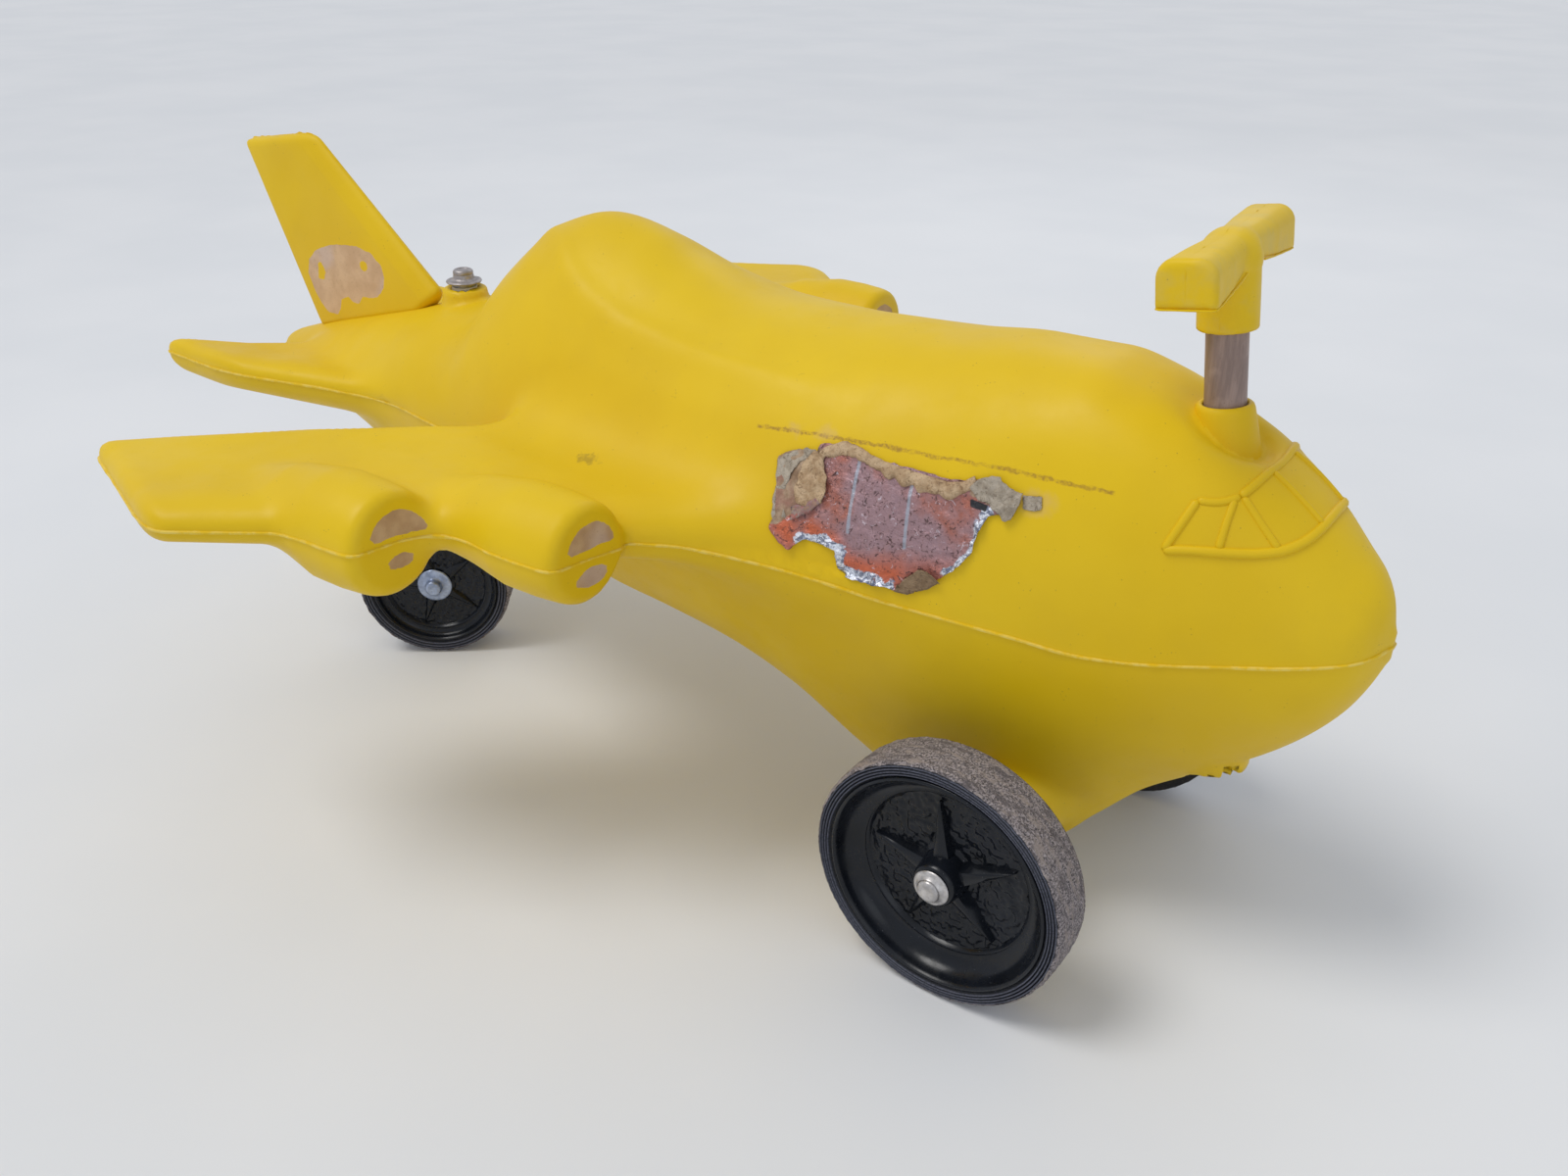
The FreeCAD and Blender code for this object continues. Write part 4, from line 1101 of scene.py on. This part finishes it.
def grip_shape(x, y, z):
    front, port, along = handle_local(x, y, z)
    out = np.abs(port)
    side = np.abs(front) - np.interp(out, *GRIP_WIDTH)
    low, high = np.interp(out, *GRIP_UNDERSIDE), np.interp(out, *GRIP_TOP)
    top = rounded(side, along - high, np.interp(out, *GRIP_CORNER))
    bottom = rounded(side, low - along, 2)
    arm = np.where(along > 0.5 * (low + high), top, bottom)
    arm = rounded(arm, out - 70.8, 3.2)
    radius = np.hypot(front, port)
    hub = rounded(radius - 14.7 + np.clip(along - 60, 0, 20) * 0.02, 37 - along, 0.8)
    hub = np.maximum(hub, along - 70)
    dome = np.sqrt(radius ** 2 + (along - 70) ** 2) - 15.2
    grip = blend(np.minimum(hub, dome), arm, reach=4)
    return np.maximum(grip, -np.maximum(radius - 10.4, along - 72))


def build_grip():
    low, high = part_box("handle_grip")
    verts, quads = solid_mesh(grip_shape, np.array(low) * 1000 - ORIGIN - 6,
                              np.array(high) * 1000 - ORIGIN + 6, step=1.5, passes=3)
    build_yellow("grip_skin", verts, quads, YELLOW_GRIP, "handle", replaces=("handle_grip",))

    beads = []
    level = handle_local(*verts.T)[0] - 0.03
    for points, closed in seam_chains(verts, quads, level, fewest=40, step=1.5, passes=1):
        front, port, along = handle_local(*points.T)
        if np.hypot(front, port).max() < 12:  # inside the bore
            continue
        lump = np.clip(noise(points, 3.4, 33) - 0.35, 0, 1) * np.where(along > 60, 1.8, 0.7)
        beads.append(sweep(points, normals_on(grip_shape, points),
                           width=0.55 + 0.12 * noise(points, 5, 31) + 0.3 * lump,
                           height=0.24 + 0.8 * lump, sink=0.16, closed=closed))
    build_yellow("grip_flash", *join(beads), YELLOW, "handle", sharp=60)


# Lip round the underside of each arm, rear half: forward, out from the tube axis
LIP = [(-12.6, 16), (-13.2, 30), (-13.6, 60), (-13.4, 69.4), (-11.5, 70.9)]


def build_grip_lips():
    lips = []
    outline = LIP + [(0, 71.1)] + [(-front, out) for front, out in LIP[::-1]]
    for side in (1, -1):
        arm = HANDLE_PORT * side
        line = [TUBE_TOP + HANDLE_FRONT * front + arm * out
                + TUBE_AXIS * (np.interp(out, *GRIP_UNDERSIDE) + 0.5) for front, out in outline]
        points = resample(line, 1.8)
        # normals point away from the arm's middle line
        away = points - TUBE_TOP
        away = away - np.outer(away @ TUBE_AXIS, TUBE_AXIS)
        away = away - np.outer(np.minimum(away @ arm, 58), arm)
        lips.append(sweep(points, away, width=1 + 0.25 * noise(points, 6, 37),
                          height=0.7 + 0.25 * noise(points, 4, 38), sink=0.3))
    build_yellow("grip_lips", *join(lips), YELLOW, "handle", sharp=60)


build_grip()
build_grip_lips()


# ---- wheels ---------------------------------------------------------------------
def arc(start, end, bulge, count):
    """Points from start up to, but not at, end, bowed sideways by bulge."""
    run, rise = end[0] - start[0], end[1] - start[1]
    length = math.hypot(run, rise)
    points = []
    for i in range(count):
        part = i / count
        bow = 4 * bulge * part * (1 - part)
        points.append((start[0] + run * part - rise / length * bow,
                       start[1] + rise * part + run / length * bow))
    return points


def build_tyre(name, body, node, centre, axis, wheel, seed):
    face, rim, inner = wheel.face, wheel.rim, wheel.face - wheel.width
    side_top = wheel.radius - 2.3
    profile, worn, crest = [], [], []

    def add(distance, radius, tread=0, wave=0):
        profile.append((distance, radius))
        worn.append(tread)
        # share of each rib's crest: where the highlight is painted on the side ribs
        crest.append(max(wave - 0.35, 0) / 0.65)

    add(face - 2.2, rim)
    count = wheel.ribs * 8
    for i in range(count + 1):  # ribbed outer side
        part = i / count
        wave = (0.5 - 0.5 * math.cos(2 * math.pi * wheel.ribs * part)) ** 0.7
        add(face - 1.85 + 1.35 * wave + 0.4 * math.sin(math.pi * part),
            rim + 0.9 + (side_top - rim - 0.9) * part, wave=wave)
    for part in np.linspace(0.12, 1, 7):  # outer shoulder
        turn = part * math.pi / 2
        add(face - 0.9 - 2.6 * (1 - math.cos(turn)), side_top + 1.7 * math.sin(turn), tread=1)
    rows = max(int((wheel.width - 8) / 1.15), 8)
    for i in range(rows + 1):  # slightly crowned tread
        part = i / rows
        add(face - 3.9 - (wheel.width - 8.4) * part,
            wheel.radius - 0.45 + 0.5 * math.sin(math.pi * part), tread=1)
    for part in np.linspace(0.9, 0, 6):  # inner shoulder
        turn = part * math.pi / 2
        add(inner + 0.9 + 3 * (1 - math.cos(turn)), side_top + 1.7 * math.sin(turn),
            tread=1 if part > 0.2 else 0)
    add(inner + 0.8, side_top - 1.5)
    add(inner + 0.9, rim + 2)
    add(inner + 2.6, rim)

    segments = 300
    verts, faces = lathe(profile, centre, axis, UP, segments)
    worn = np.repeat(np.array(worn, float), segments)
    off = verts - centre
    along = off @ axis
    radial = off - np.outer(along, axis)
    radius = np.linalg.norm(radial, axis=1)
    radial /= radius[:, None]
    angle = np.arctan2(radial @ np.cross(axis, UP), radial @ UP)
    # worn, roughened tread with a few scooped places
    rough = 0.42 * noise(verts, 1.5, seed) + 0.26 * noise(verts, 3.4, seed + 1)
    scoop = noise(np.c_[angle * 9, angle * 0, angle * 0], 4, seed + 2)
    scoop = 0.35 * np.minimum(scoop, 0)
    verts = verts + radial * ((rough - 0.25 + scoop) * worn)[:, None]
    # ragged outer edge
    edge = np.exp(-((radius - side_top) / 1.6) ** 2) * (along > face - 6)
    verts = verts + np.outer(0.34 * edge * noise(verts, 2.2, seed + 3), axis)
    around = np.c_[np.cos(angle) * wheel.radius / 8, np.sin(angle) * wheel.radius / 8,
                   along / 2.2]
    streak = noise(around, 1, seed + 6) + 0.6 * noise(around * 2.1, 1, seed + 7)
    build(name, *outward(verts, faces), RUBBER, body, "tyre", (node,),
          {"worn": worn, "crest": np.repeat(crest, segments), "streak": streak}, sharp=75)


# Sections of a star arm: share of its length, share of its width, share of its height
ARM_SECTIONS = ((0, 1, 1), (0.12, 0.86, 0.97), (0.4, 0.58, 0.80), (0.75, 0.28, 0.58),
                (0.96, 0.10, 0.40), (1, 0.05, 0.30))


def star_arm(centre, axis, wheel, angle):
    spoke = UP * math.cos(angle) + np.cross(axis, UP) * math.sin(angle)
    across = np.cross(axis, spoke)
    base = wheel.web - 1
    verts = []
    for along, wide, high in ARM_SECTIONS:
        at = centre + spoke * ((wheel.hub - 1) + (wheel.arm_end - wheel.hub + 1) * along)
        half, top = wheel.arm_half * wide, wheel.web + wheel.arm_height * high
        verts += [at + across * offset + axis * level for offset, level in (
            (half + 1, base), (half * 0.55 + 0.1, top - 0.7), (half * 0.22, top),
            (-half * 0.22, top - 0.05), (-(half * 0.9 + 0.1), top - 1.9 * high),
            (-(half + 1), base))]
    faces = tube_faces(len(ARM_SECTIONS), 6)
    last = (len(ARM_SECTIONS) - 1) * 6
    faces += [list(range(6)), [last + k for k in range(6)][::-1]]
    return outward(np.array(verts), faces)


def build_rim(name, body, node, centre, axis, wheel, seed):
    """Outer half of the rim: barrel, pebbled disc, hub and a five-armed star."""
    face, web, hub, hub_end = wheel.face, wheel.web, wheel.hub, wheel.hub_end
    edge, disc = wheel.rim - 0.05, wheel.disc
    middle = face - wheel.width * wheel.split
    profile = [(middle + 0.05, edge), (face - 1.6, edge), (face - 0.9, edge - 0.6),
               (face - 0.7, edge - 1.8), (face - 1.5, edge - 2.7)]
    profile += arc((face - 2, edge - 3.1), (web + 2.6, disc + 1.6), wheel.barrel, 18)[1:]
    profile += [(web + 2.6, disc + 1.6), (web + 2.9, disc + 0.7), (web + 2.5, disc),
                (web + 0.6, disc - 0.8)]
    start = len(profile)
    outer, inner = disc - 1.4, hub + 5
    count = int((outer - inner) / 0.75)
    profile += [(web, outer - (outer - inner) * i / count) for i in range(count + 1)]
    profile += [(web + 1.2, hub + 3.2), (hub_end - 3, hub + 1.4), (hub_end - 0.9, hub + 0.5),
                (hub_end, hub - 0.6), (hub_end, wheel.bore), (middle + 0.05, wheel.bore)]
    on_disc = np.zeros(len(profile))
    on_disc[start + 1:start + count] = 1

    segments = 260
    verts, faces = lathe(profile, centre, axis, UP, segments)
    pebble = noise(verts, 2.3, seed)
    pebble = np.where(pebble > 0, np.maximum(pebble, 0) ** 0.7, pebble * 0.5)
    pebble = pebble + 0.22 * noise(verts, 1.2, seed + 5)
    verts = verts + np.outer(np.repeat(on_disc, segments) * pebble, axis)
    parts = [outward(verts, faces)]
    for i in range(5):
        parts.append(star_arm(centre, axis, wheel, 2 * math.pi * i / 5 + wheel.arm_turn))
    build(name, *join(parts), BLACK, body, "black_plastic", (node,), sharp=42)


def build_cap(name, node, centre, axis, seed, body, material, face, brim, dome, height):
    """Push-on cap: a thin flared brim with a rolled edge, then a dome with a flattened end."""
    end = face + height
    profile = [(face + 0.1, 0), (face + 0.1, 5), (face + 0.1, brim - 1.4), (face, brim - 0.4),
               (face + 0.35, brim), (face + 0.9, brim - 0.15), (face + 1.35, brim - 1)]
    profile += arc((face + 1.45, brim - 1.3), (face + 2.6, dome + 1), bulge=-0.25, count=5)
    profile += [(face + 2.9, dome + 0.45), (face + 3.5, dome + 0.05), (end - 2.4, dome - 0.15)]
    for part in np.linspace(0.15, 1, 6):
        turn = part * math.pi / 2
        profile.append((end - 2.2 + 2.2 * math.sin(turn),
                        dome - 0.2 - 2.4 * (1 - math.cos(turn))))
    profile += [(end - 0.25, (dome - 2.6) * 0.6), (end - 0.45, 1.4), (end - 0.4, 0)]
    cap = dented_lathe(profile, centre, axis, UP, segments=72, depth=0.10, scale=3, seed=seed)
    build(name, *cap, material, body, "zinc_cap", (node,), sharp=50)


FRONT_CAP = dict(body="airframe", material=CAP_ZINC, face=136.7, brim=10.8, dome=6.9,
                 height=5.5)
REAR_CAP = dict(body="caster", material=BLUE_ZINC, face=REAR_FACE - 5.15, brim=13.6, dome=6.4,
                height=8.6)
caster_back = np.array([-math.cos(CASTER_SWING), -math.sin(CASTER_SWING), 0.0])
rear_axle = np.array([-math.sin(CASTER_SWING), math.cos(CASTER_SWING), 0.0])
front_centre = np.array([0.0, 0.0, FRONT_RADIUS])
rear_centre = np.array([STEM_X, 0, REAR_RADIUS]) + caster_back * CASTER_TRAIL

for end, centre, axle, wheel, cap in (
        ("front", front_centre, PORT, FRONT_WHEEL, FRONT_CAP),
        ("rear", rear_centre, rear_axle, REAR_WHEEL, REAR_CAP)):
    for side, tag in ((1.0, "left"), (-1.0, "right")):
        axis = axle * side
        body = f"{end}_wheel_{tag}"
        seed = wheel.seed if side > 0 else wheel.seed + 10
        build_tyre(f"{end}_tread_{tag}", body, f"{end}_tyre_{tag}", centre, axis, wheel, seed)
        build_rim(f"{end}_star_{tag}", body, f"{end}_rim_{tag}", centre, axis, wheel, seed + 20)
        build_cap(f"{end}_hub_cap_{tag}", f"{end}_cap_{tag}", centre, axis,
                  seed=wheel.seed + 40, **cap)

# hat-shaped push-on nut over the caster stem: height above its base, radius
HAT_NUT = [(0, 0), (0, 11.4), (0.3, 12.4), (1, 12.8), (1.6, 12.5), (2.1, 11)]
HAT_NUT += arc((2.2, 10.7), (3.1, 8), bulge=-0.4, count=6)
HAT_NUT += [(3.3, 7.75), (4.2, 7.4), (5.6, 7.3), (6.1, 7), (6.5, 7.25), (8.2, 7.15),
            (9.1, 6.5), (9.6, 5.3), (9.5, 4.1), (9, 3.7), (8.9, 0)]
nut = dented_lathe(HAT_NUT, np.array([STEM_X, 0, 298]), UP, np.array([1.0, 0, 0]), segments=84,
                   depth=0.12, scale=4, seed=201)
build("stem_hat_nut", *nut, NUT_ZINC, "caster", "zinc_cap", ("caster_push_nut",), sharp=45)


# ---- torn label on the starboard side, outlined in x and z ----------------------
def starboard_skin(x, z):
    """Points of the starboard skin, and its unit normals."""
    outside, inside = np.full(x.shape, -150.0), np.full(x.shape, -30.0)
    for _ in range(26):
        middle = 0.5 * (outside + inside)
        within = airframe(x, middle, z) < 0
        inside, outside = np.where(within, middle, inside), np.where(within, outside, middle)
    points = np.c_[x, 0.5 * (outside + inside), z]
    normals = normals_on(airframe, points)
    return points, normals / np.linalg.norm(normals, axis=1)[:, None]


def sheet(outline, height, step=0.9):
    """Grid inside an outline, laid on the skin.

    height(x, z, distance from the edge) gives the lift and the shifts in x and z."""
    snap = 0.75 * step
    low, high = outline.min(0), outline.max(0)
    grid = [np.arange(low[n] - step, high[n] + 2 * step, step) for n in (0, 1)]
    x, z = np.meshgrid(*grid, indexing="ij")
    distance, near_x, near_z = in_polygon(x, z, outline)
    on_edge = np.abs(distance) < snap
    x, z = np.where(on_edge, near_x, x), np.where(on_edge, near_z, z)
    kept = (distance < 0) | on_edge
    quad = kept[:-1, :-1] & kept[1:, :-1] & kept[1:, 1:] & kept[:-1, 1:]
    used = np.zeros(x.shape, bool)
    for a, b in product((0, 1), repeat=2):
        used[a:x.shape[0] - 1 + a, b:x.shape[1] - 1 + b] |= quad
    index = -np.ones(x.shape, int)
    index[used] = np.arange(used.sum())
    x, z = x[used], z[used]
    points, normals = starboard_skin(x, z)
    lift, shift_x, shift_z = height(x, z, -np.minimum(distance[used], 0))
    verts = points + normals * lift[:, None] + np.c_[shift_x, np.zeros_like(x), shift_z]
    i, j = np.nonzero(quad)
    faces = np.c_[index[i, j], index[i + 1, j], index[i + 1, j + 1], index[i, j + 1]]
    return verts, faces, x, z


def torn(outline, amount, seed):
    """Outline with its edges broken up."""
    points = resample(np.c_[np.array(outline, float), np.zeros(len(outline))], 1.6, closed=True)
    ragged = np.c_[noise(points, 4, seed), noise(points, 4, seed + 1)]
    fine = np.c_[noise(points, 1.9, seed + 2), noise(points, 1.9, seed + 3)]
    return points[:, :2] + amount * (ragged + 0.6 * fine)


def build_paper(name, verts, faces, material, thickness=0.45, **options):
    thing = build(name, verts, faces, material, "airframe", "foil_label", **options)
    solidify = thing.modifiers.new("thick", "SOLIDIFY")
    solidify.thickness = thickness / 1000.0
    solidify.offset = 0.0
    solidify.use_rim = True


LABEL = [(-136, 277), (-133, 279), (-125, 283), (-113, 283), (-112, 287), (-99, 291),
         (-89, 290), (-78, 286), (-56, 286), (-40, 285), (-30, 285), (-21, 287), (-12, 288),
         (-7, 285), (-2, 285), (-1, 271), (-8, 273), (-14, 270), (-17, 259), (-19, 249),
         (-29, 237), (-40, 227), (-49, 222), (-56, 222), (-60, 223), (-73, 223), (-83, 224),
         (-90, 227), (-91, 237), (-100, 240), (-110, 240), (-114, 237), (-116, 233),
         (-122, 236), (-129, 244), (-127, 251), (-131, 263)]
# Areas where the foil is gone
BARE_LEFT = [(-138, 279), (-125, 286), (-111, 286), (-107, 277), (-105, 268), (-109, 258),
             (-117, 253), (-125, 246), (-132, 246), (-129, 251), (-133, 263)]
BARE_RIGHT = [(-26, 282), (-21, 289), (-12, 290), (-7, 287), (1, 287), (1, 269), (-8, 273),
              (-17, 278), (-24, 279)]
# Silver edges, low and forward
SILVER_LOW = [(-112, 240), (-99, 240.5), (-91, 238), (-89, 228), (-82, 224.5), (-60, 223.5)]
SILVER_FRONT = [(-14, 272), (-17, 259), (-19.5, 249), (-29, 237)]
STRIPES = ([(-88, 286), (-86, 248)], [(-56, 284), (-54, 246)])
DARK_BAR = [(-24, 277.5), (-14.5, 276), (-14.5, 272.6), (-23, 273.6)]
HOT_CORNER = [(-130, 245), (-118, 253), (-112, 240), (-116, 233)]
HOT_LINE = [(-106, 246), (-94, 242), (-86, 232), (-70, 229), (-58, 230)]


def label_height(x, z, inset):
    flat = np.c_[x, z, x * 0]
    swell = np.abs(layered_noise(flat, 17, 311))
    fold = 1 - 2 * np.abs(noise(flat, 6, 315))
    crinkle = 1 - 2 * np.abs(noise(flat, 2.8, 317))
    silver = np.minimum(line_distance(x, z, SILVER_LOW), line_distance(x, z, SILVER_FRONT))
    crisp = np.exp(-silver / 6)
    lift = 0.45 + 1.1 * swell + 0.34 * fold + 0.22 * crinkle
    lift = lift + crisp * (0.55 * np.clip(crinkle, 0, 1) + 0.5 * np.clip(fold, 0, 1))
    edge = 0.3 + 0.9 * np.clip(noise(flat, 8, 319) + 0.2, 0, 1)
    return lift + np.exp(-inset / 3.5) * edge, 0 * x, 0 * x


def build_label():
    verts, faces, x, z = sheet(torn(LABEL, amount=0.55, seed=301), label_height)
    flat = np.c_[x, z, x * 0]
    silver = np.minimum(line_distance(x, z, SILVER_LOW) - 3.6,
                        line_distance(x, z, SILVER_FRONT) - 2.6) - 2.4 * noise(flat, 7, 331)
    veins = np.abs(noise(flat, 9, 333)) * 16 + 0.8 + np.clip(z - 262, 0, 30) * 0.25
    first, second = [line_distance(x, z, line) - 0.9 for line in STRIPES]
    build_paper("label_foil", verts, faces, FOIL, thickness=0.25, replaces=("side_label",),
                attributes={
                    "paper": np.minimum(polygon_distance(x, z, BARE_LEFT),
                                        polygon_distance(x, z, BARE_RIGHT)),
                    "silver": np.minimum(silver, veins),
                    "stripe": np.minimum(first, second),
                    "dark": polygon_distance(x, z, DARK_BAR),
                    "hot": np.minimum(polygon_distance(x, z, HOT_CORNER),
                                      line_distance(x, z, HOT_LINE) - 4),
                    "low": z - 226 - 0.12 * (x + 110)})


def build_flap(name, outline, material, crumple, lift, seed, tear, curl=None):
    """Loose scrap; curl is x and z of the bend, its direction in x and z, radius, amount."""
    def height(x, z, _inset):
        flat = np.c_[x, z, x * 0]
        rise = lift + crumple * (0.6 * np.abs(layered_noise(flat, 11, seed))
                                 + 0.5 * (1 - np.abs(noise(flat, 6.5, seed + 7)) * 2) * 0.6
                                 + 0.22 * noise(flat, 2.6, seed + 9))
        shift_x, shift_z = 0.5 * noise(flat, 7, seed + 11), 0.5 * noise(flat, 7, seed + 13)
        if curl:
            bend_x, bend_z, toward_x, toward_z, radius, amount = curl
            past = (x - bend_x) * toward_x + (z - bend_z) * toward_z
            turn = np.clip(past / radius, 0, 2.6)
            rise = rise + amount * (1 - np.cos(turn)) * radius * 0.5
            back = -np.where(past > 0, past - radius * np.sin(turn), 0) * 0.9
            shift_x, shift_z = shift_x + back * toward_x, shift_z + back * toward_z
        return np.maximum(rise, 0.55), shift_x, shift_z

    verts, faces, _, _ = sheet(torn(outline, tear, seed + 20), height)
    build_paper(name, verts, faces, material)


build_label()
build_flap("paper_flap_left", [
    (-114, 284), (-107, 281), (-101, 270), (-103, 261), (-110, 257), (-117, 257), (-120, 266),
    (-119, 276)], TAN_PAPER, crumple=2.2, lift=2.2, seed=401, tear=0.8,
    curl=(-106, 270, 1, 0.1, 4, 0.9))
build_flap("paper_scrap_left", [
    (-135, 277), (-124, 283), (-113, 285), (-112, 280), (-122, 277), (-126, 268), (-125, 256),
    (-121, 251), (-127, 247), (-130, 255), (-132, 264)],
    GREY_PAPER, crumple=1.5, lift=1.2, seed=431, tear=1.0)
build_flap("foil_roll_left", [
    (-119, 256), (-108, 261), (-102, 266), (-104, 259), (-111, 252), (-118, 249)],
    FOIL, crumple=1.8, lift=2.0, seed=461, tear=0.5)
build_flap("paper_flap_right", [
    (-26, 283), (-20, 288), (-12, 290), (-6, 286), (3, 285), (4, 278), (0, 270), (-6, 271),
    (-12, 276), (-20, 277)], GREY_PAPER, crumple=2.6, lift=1.6, seed=491, tear=1.1,
    curl=(-4, 280, 0.9, -0.3, 4.5, 0.6))
build_flap("paper_tag_right", [(2, 284), (11, 285), (12, 278), (3, 277)],
           GREY_PAPER, crumple=0.5, lift=0.35, seed=521, tear=0.5)
build_flap("label_corner_curl", [
    (-57, 222), (-49, 221), (-38, 227), (-29, 236), (-36, 239), (-45, 236), (-52, 229)],
    LABEL_BACK, crumple=0.7, lift=1.7, seed=551, tear=0.3,
    curl=(-44, 233, 0.55, 0.83, 5, 0.9))

# Torn paper edge rolled over along the top: its line in x, y, z (y is found on the skin),
# and its width against the share of the way along
ROLL_LINE = [(-113, 0, 278), (-109, 0, 285), (-99, 0, 289.5), (-90, 0, 288), (-78, 0, 285),
             (-64, 0, 283.5), (-50, 0, 282.5), (-37, 0, 281.5), (-28, 0, 283), (-23, 0, 287)]
ROLL_WIDTH = ([0, 0.08, 0.3, 0.6, 0.85, 1], [3.5, 5.5, 4.6, 6.2, 6.6, 3])


def build_paper_roll(rows=12):
    line = relax(resample(ROLL_LINE, 1), closed=False, passes=2)
    count = len(line)
    width = np.interp(np.arange(count) / count, *ROLL_WIDTH)
    width = width * (1 + 0.28 * noise(line, 5, 601)) + 0.5 * noise(line, 2, 603)
    along = np.gradient(line, axis=0)
    along /= np.linalg.norm(along, axis=1)[:, None]
    down = np.c_[along[:, 2], np.zeros(count), -along[:, 0]]
    verts = []
    for j in range(rows):
        part = j / (rows - 1)
        turn = math.pi * 1.15 * part
        reach = width * (0.55 - 0.55 * math.cos(turn)) - 1.8
        lift = 0.6 + 0.42 * width * max(math.sin(turn), 0) ** 0.8
        lift = lift + 0.35 * noise(line + j * 0.7, 3, 605) + (0.5 if part > 0.9 else 0)
        reach = reach + 0.4 * noise(line + j * 1.3, 2.4, 607)
        row = line + down * reach[:, None]
        points, normals = starboard_skin(row[:, 0], row[:, 2])
        verts.append(points + normals * np.maximum(lift, 0.5)[:, None])
    faces = [[j * count + i, j * count + i + 1, (j + 1) * count + i + 1, (j + 1) * count + i]
             for j in range(rows - 1) for i in range(count - 1)]
    build_paper("paper_roll_top", np.vstack(verts), faces, TAN_PAPER)


build_paper_roll()

# ---- CAD parts that stay; the rest of them are steel ----------------------------
FINISH = {
    "handle_tube": TUBE, "caster_yoke": YOKE_PLATE, "tube_push_nut": NUT_ZINC,
    "front_inner_left": BLACK, "front_inner_right": BLACK,
    "rear_inner_left": BLACK, "rear_inner_right": BLACK,
    "front_spacer_left": NYLON, "front_spacer_right": NYLON,
    "caster_bush_upper": NYLON, "caster_bush_lower": NYLON}
for name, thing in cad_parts.items():
    if thing.hide_render:
        continue
    material = FINISH.get(name, STEEL)
    if not thing.material_slots:
        thing.data.materials.append(material)
    for slot in thing.material_slots:
        slot.material = material


# ---- floor, light and camera, in metres -----------------------------------------
def add_object(name, data):
    thing = bpy.data.objects.new(name, data)
    bpy.context.scene.collection.objects.link(thing)
    return thing


def build_floor():
    mat = Shader("studio_floor")
    colour = mat.tint((0.745, 0.75, 0.755), (0.78, 0.78, 0.78), scale=2.5, span=(0.3, 0.7))
    mat.finish(colour, 0.82, mat.noise(scale=120, detail=2), strength=0.05, distance=0.0003)
    mesh = bpy.data.meshes.new("floor")
    corners = [(-14, -8, 0), (14, -8, 0), (14, 26, 0), (-14, 26, 0)]
    mesh.from_pydata(corners, [], [(0, 1, 2, 3)])
    mesh.materials.append(mat.material)
    add_object("floor", mesh)


def add_light(name, kind, direction, **settings):
    light = bpy.data.lights.new(name, kind)
    for key, value in settings.items():
        setattr(light, key, value)
    thing = add_object(name, light)
    thing.rotation_euler = direction.to_track_quat("-Z", "Y").to_euler()
    return thing


def add_disk(name, place, target, **settings):
    direction = Vector(target) - Vector(place)
    add_light(name, "AREA", direction, shape="DISK", **settings).location = place


build_floor()
scene = bpy.context.scene
world = bpy.data.worlds.new("studio")
scene.world = world
world.use_nodes = True
background = world.node_tree.nodes["Background"]
background.inputs["Color"].default_value = (0.86, 0.91, 1, 1)
background.inputs["Strength"].default_value = 0.62

add_light("sky_key", "SUN", Vector((0.55, 0.62, -1.55)), energy=1.05, angle=math.radians(24),
          color=(1, 0.985, 0.955))
add_disk("softbox", (-0.6, -1, 1.7), (0, 0, 0.2), size=0.9, energy=3, color=(1, 0.99, 0.97))
add_disk("fill", (1.9, -1.5, 1.1), (0.1, 0, 0.2), size=1.4, energy=3, color=(0.90, 0.95, 1))
add_disk("back", (-0.5, 1.9, 1.6), (0, 0, 0.3), size=1.4, energy=3.5, color=(0.95, 0.97, 1))

scene.view_settings.view_transform = "Standard"
lens = bpy.data.cameras.new("camera")
lens.lens, lens.sensor_width = 30.56, 36
lens.clip_start, lens.clip_end = 0.02, 60
camera = add_object("camera", lens)
camera.location = ((265.6 + ORIGIN[0]) / 1000.0, -0.6322, 0.5547)
camera.rotation_euler = (math.radians(62), 0, math.radians(36.3))
scene.camera = camera
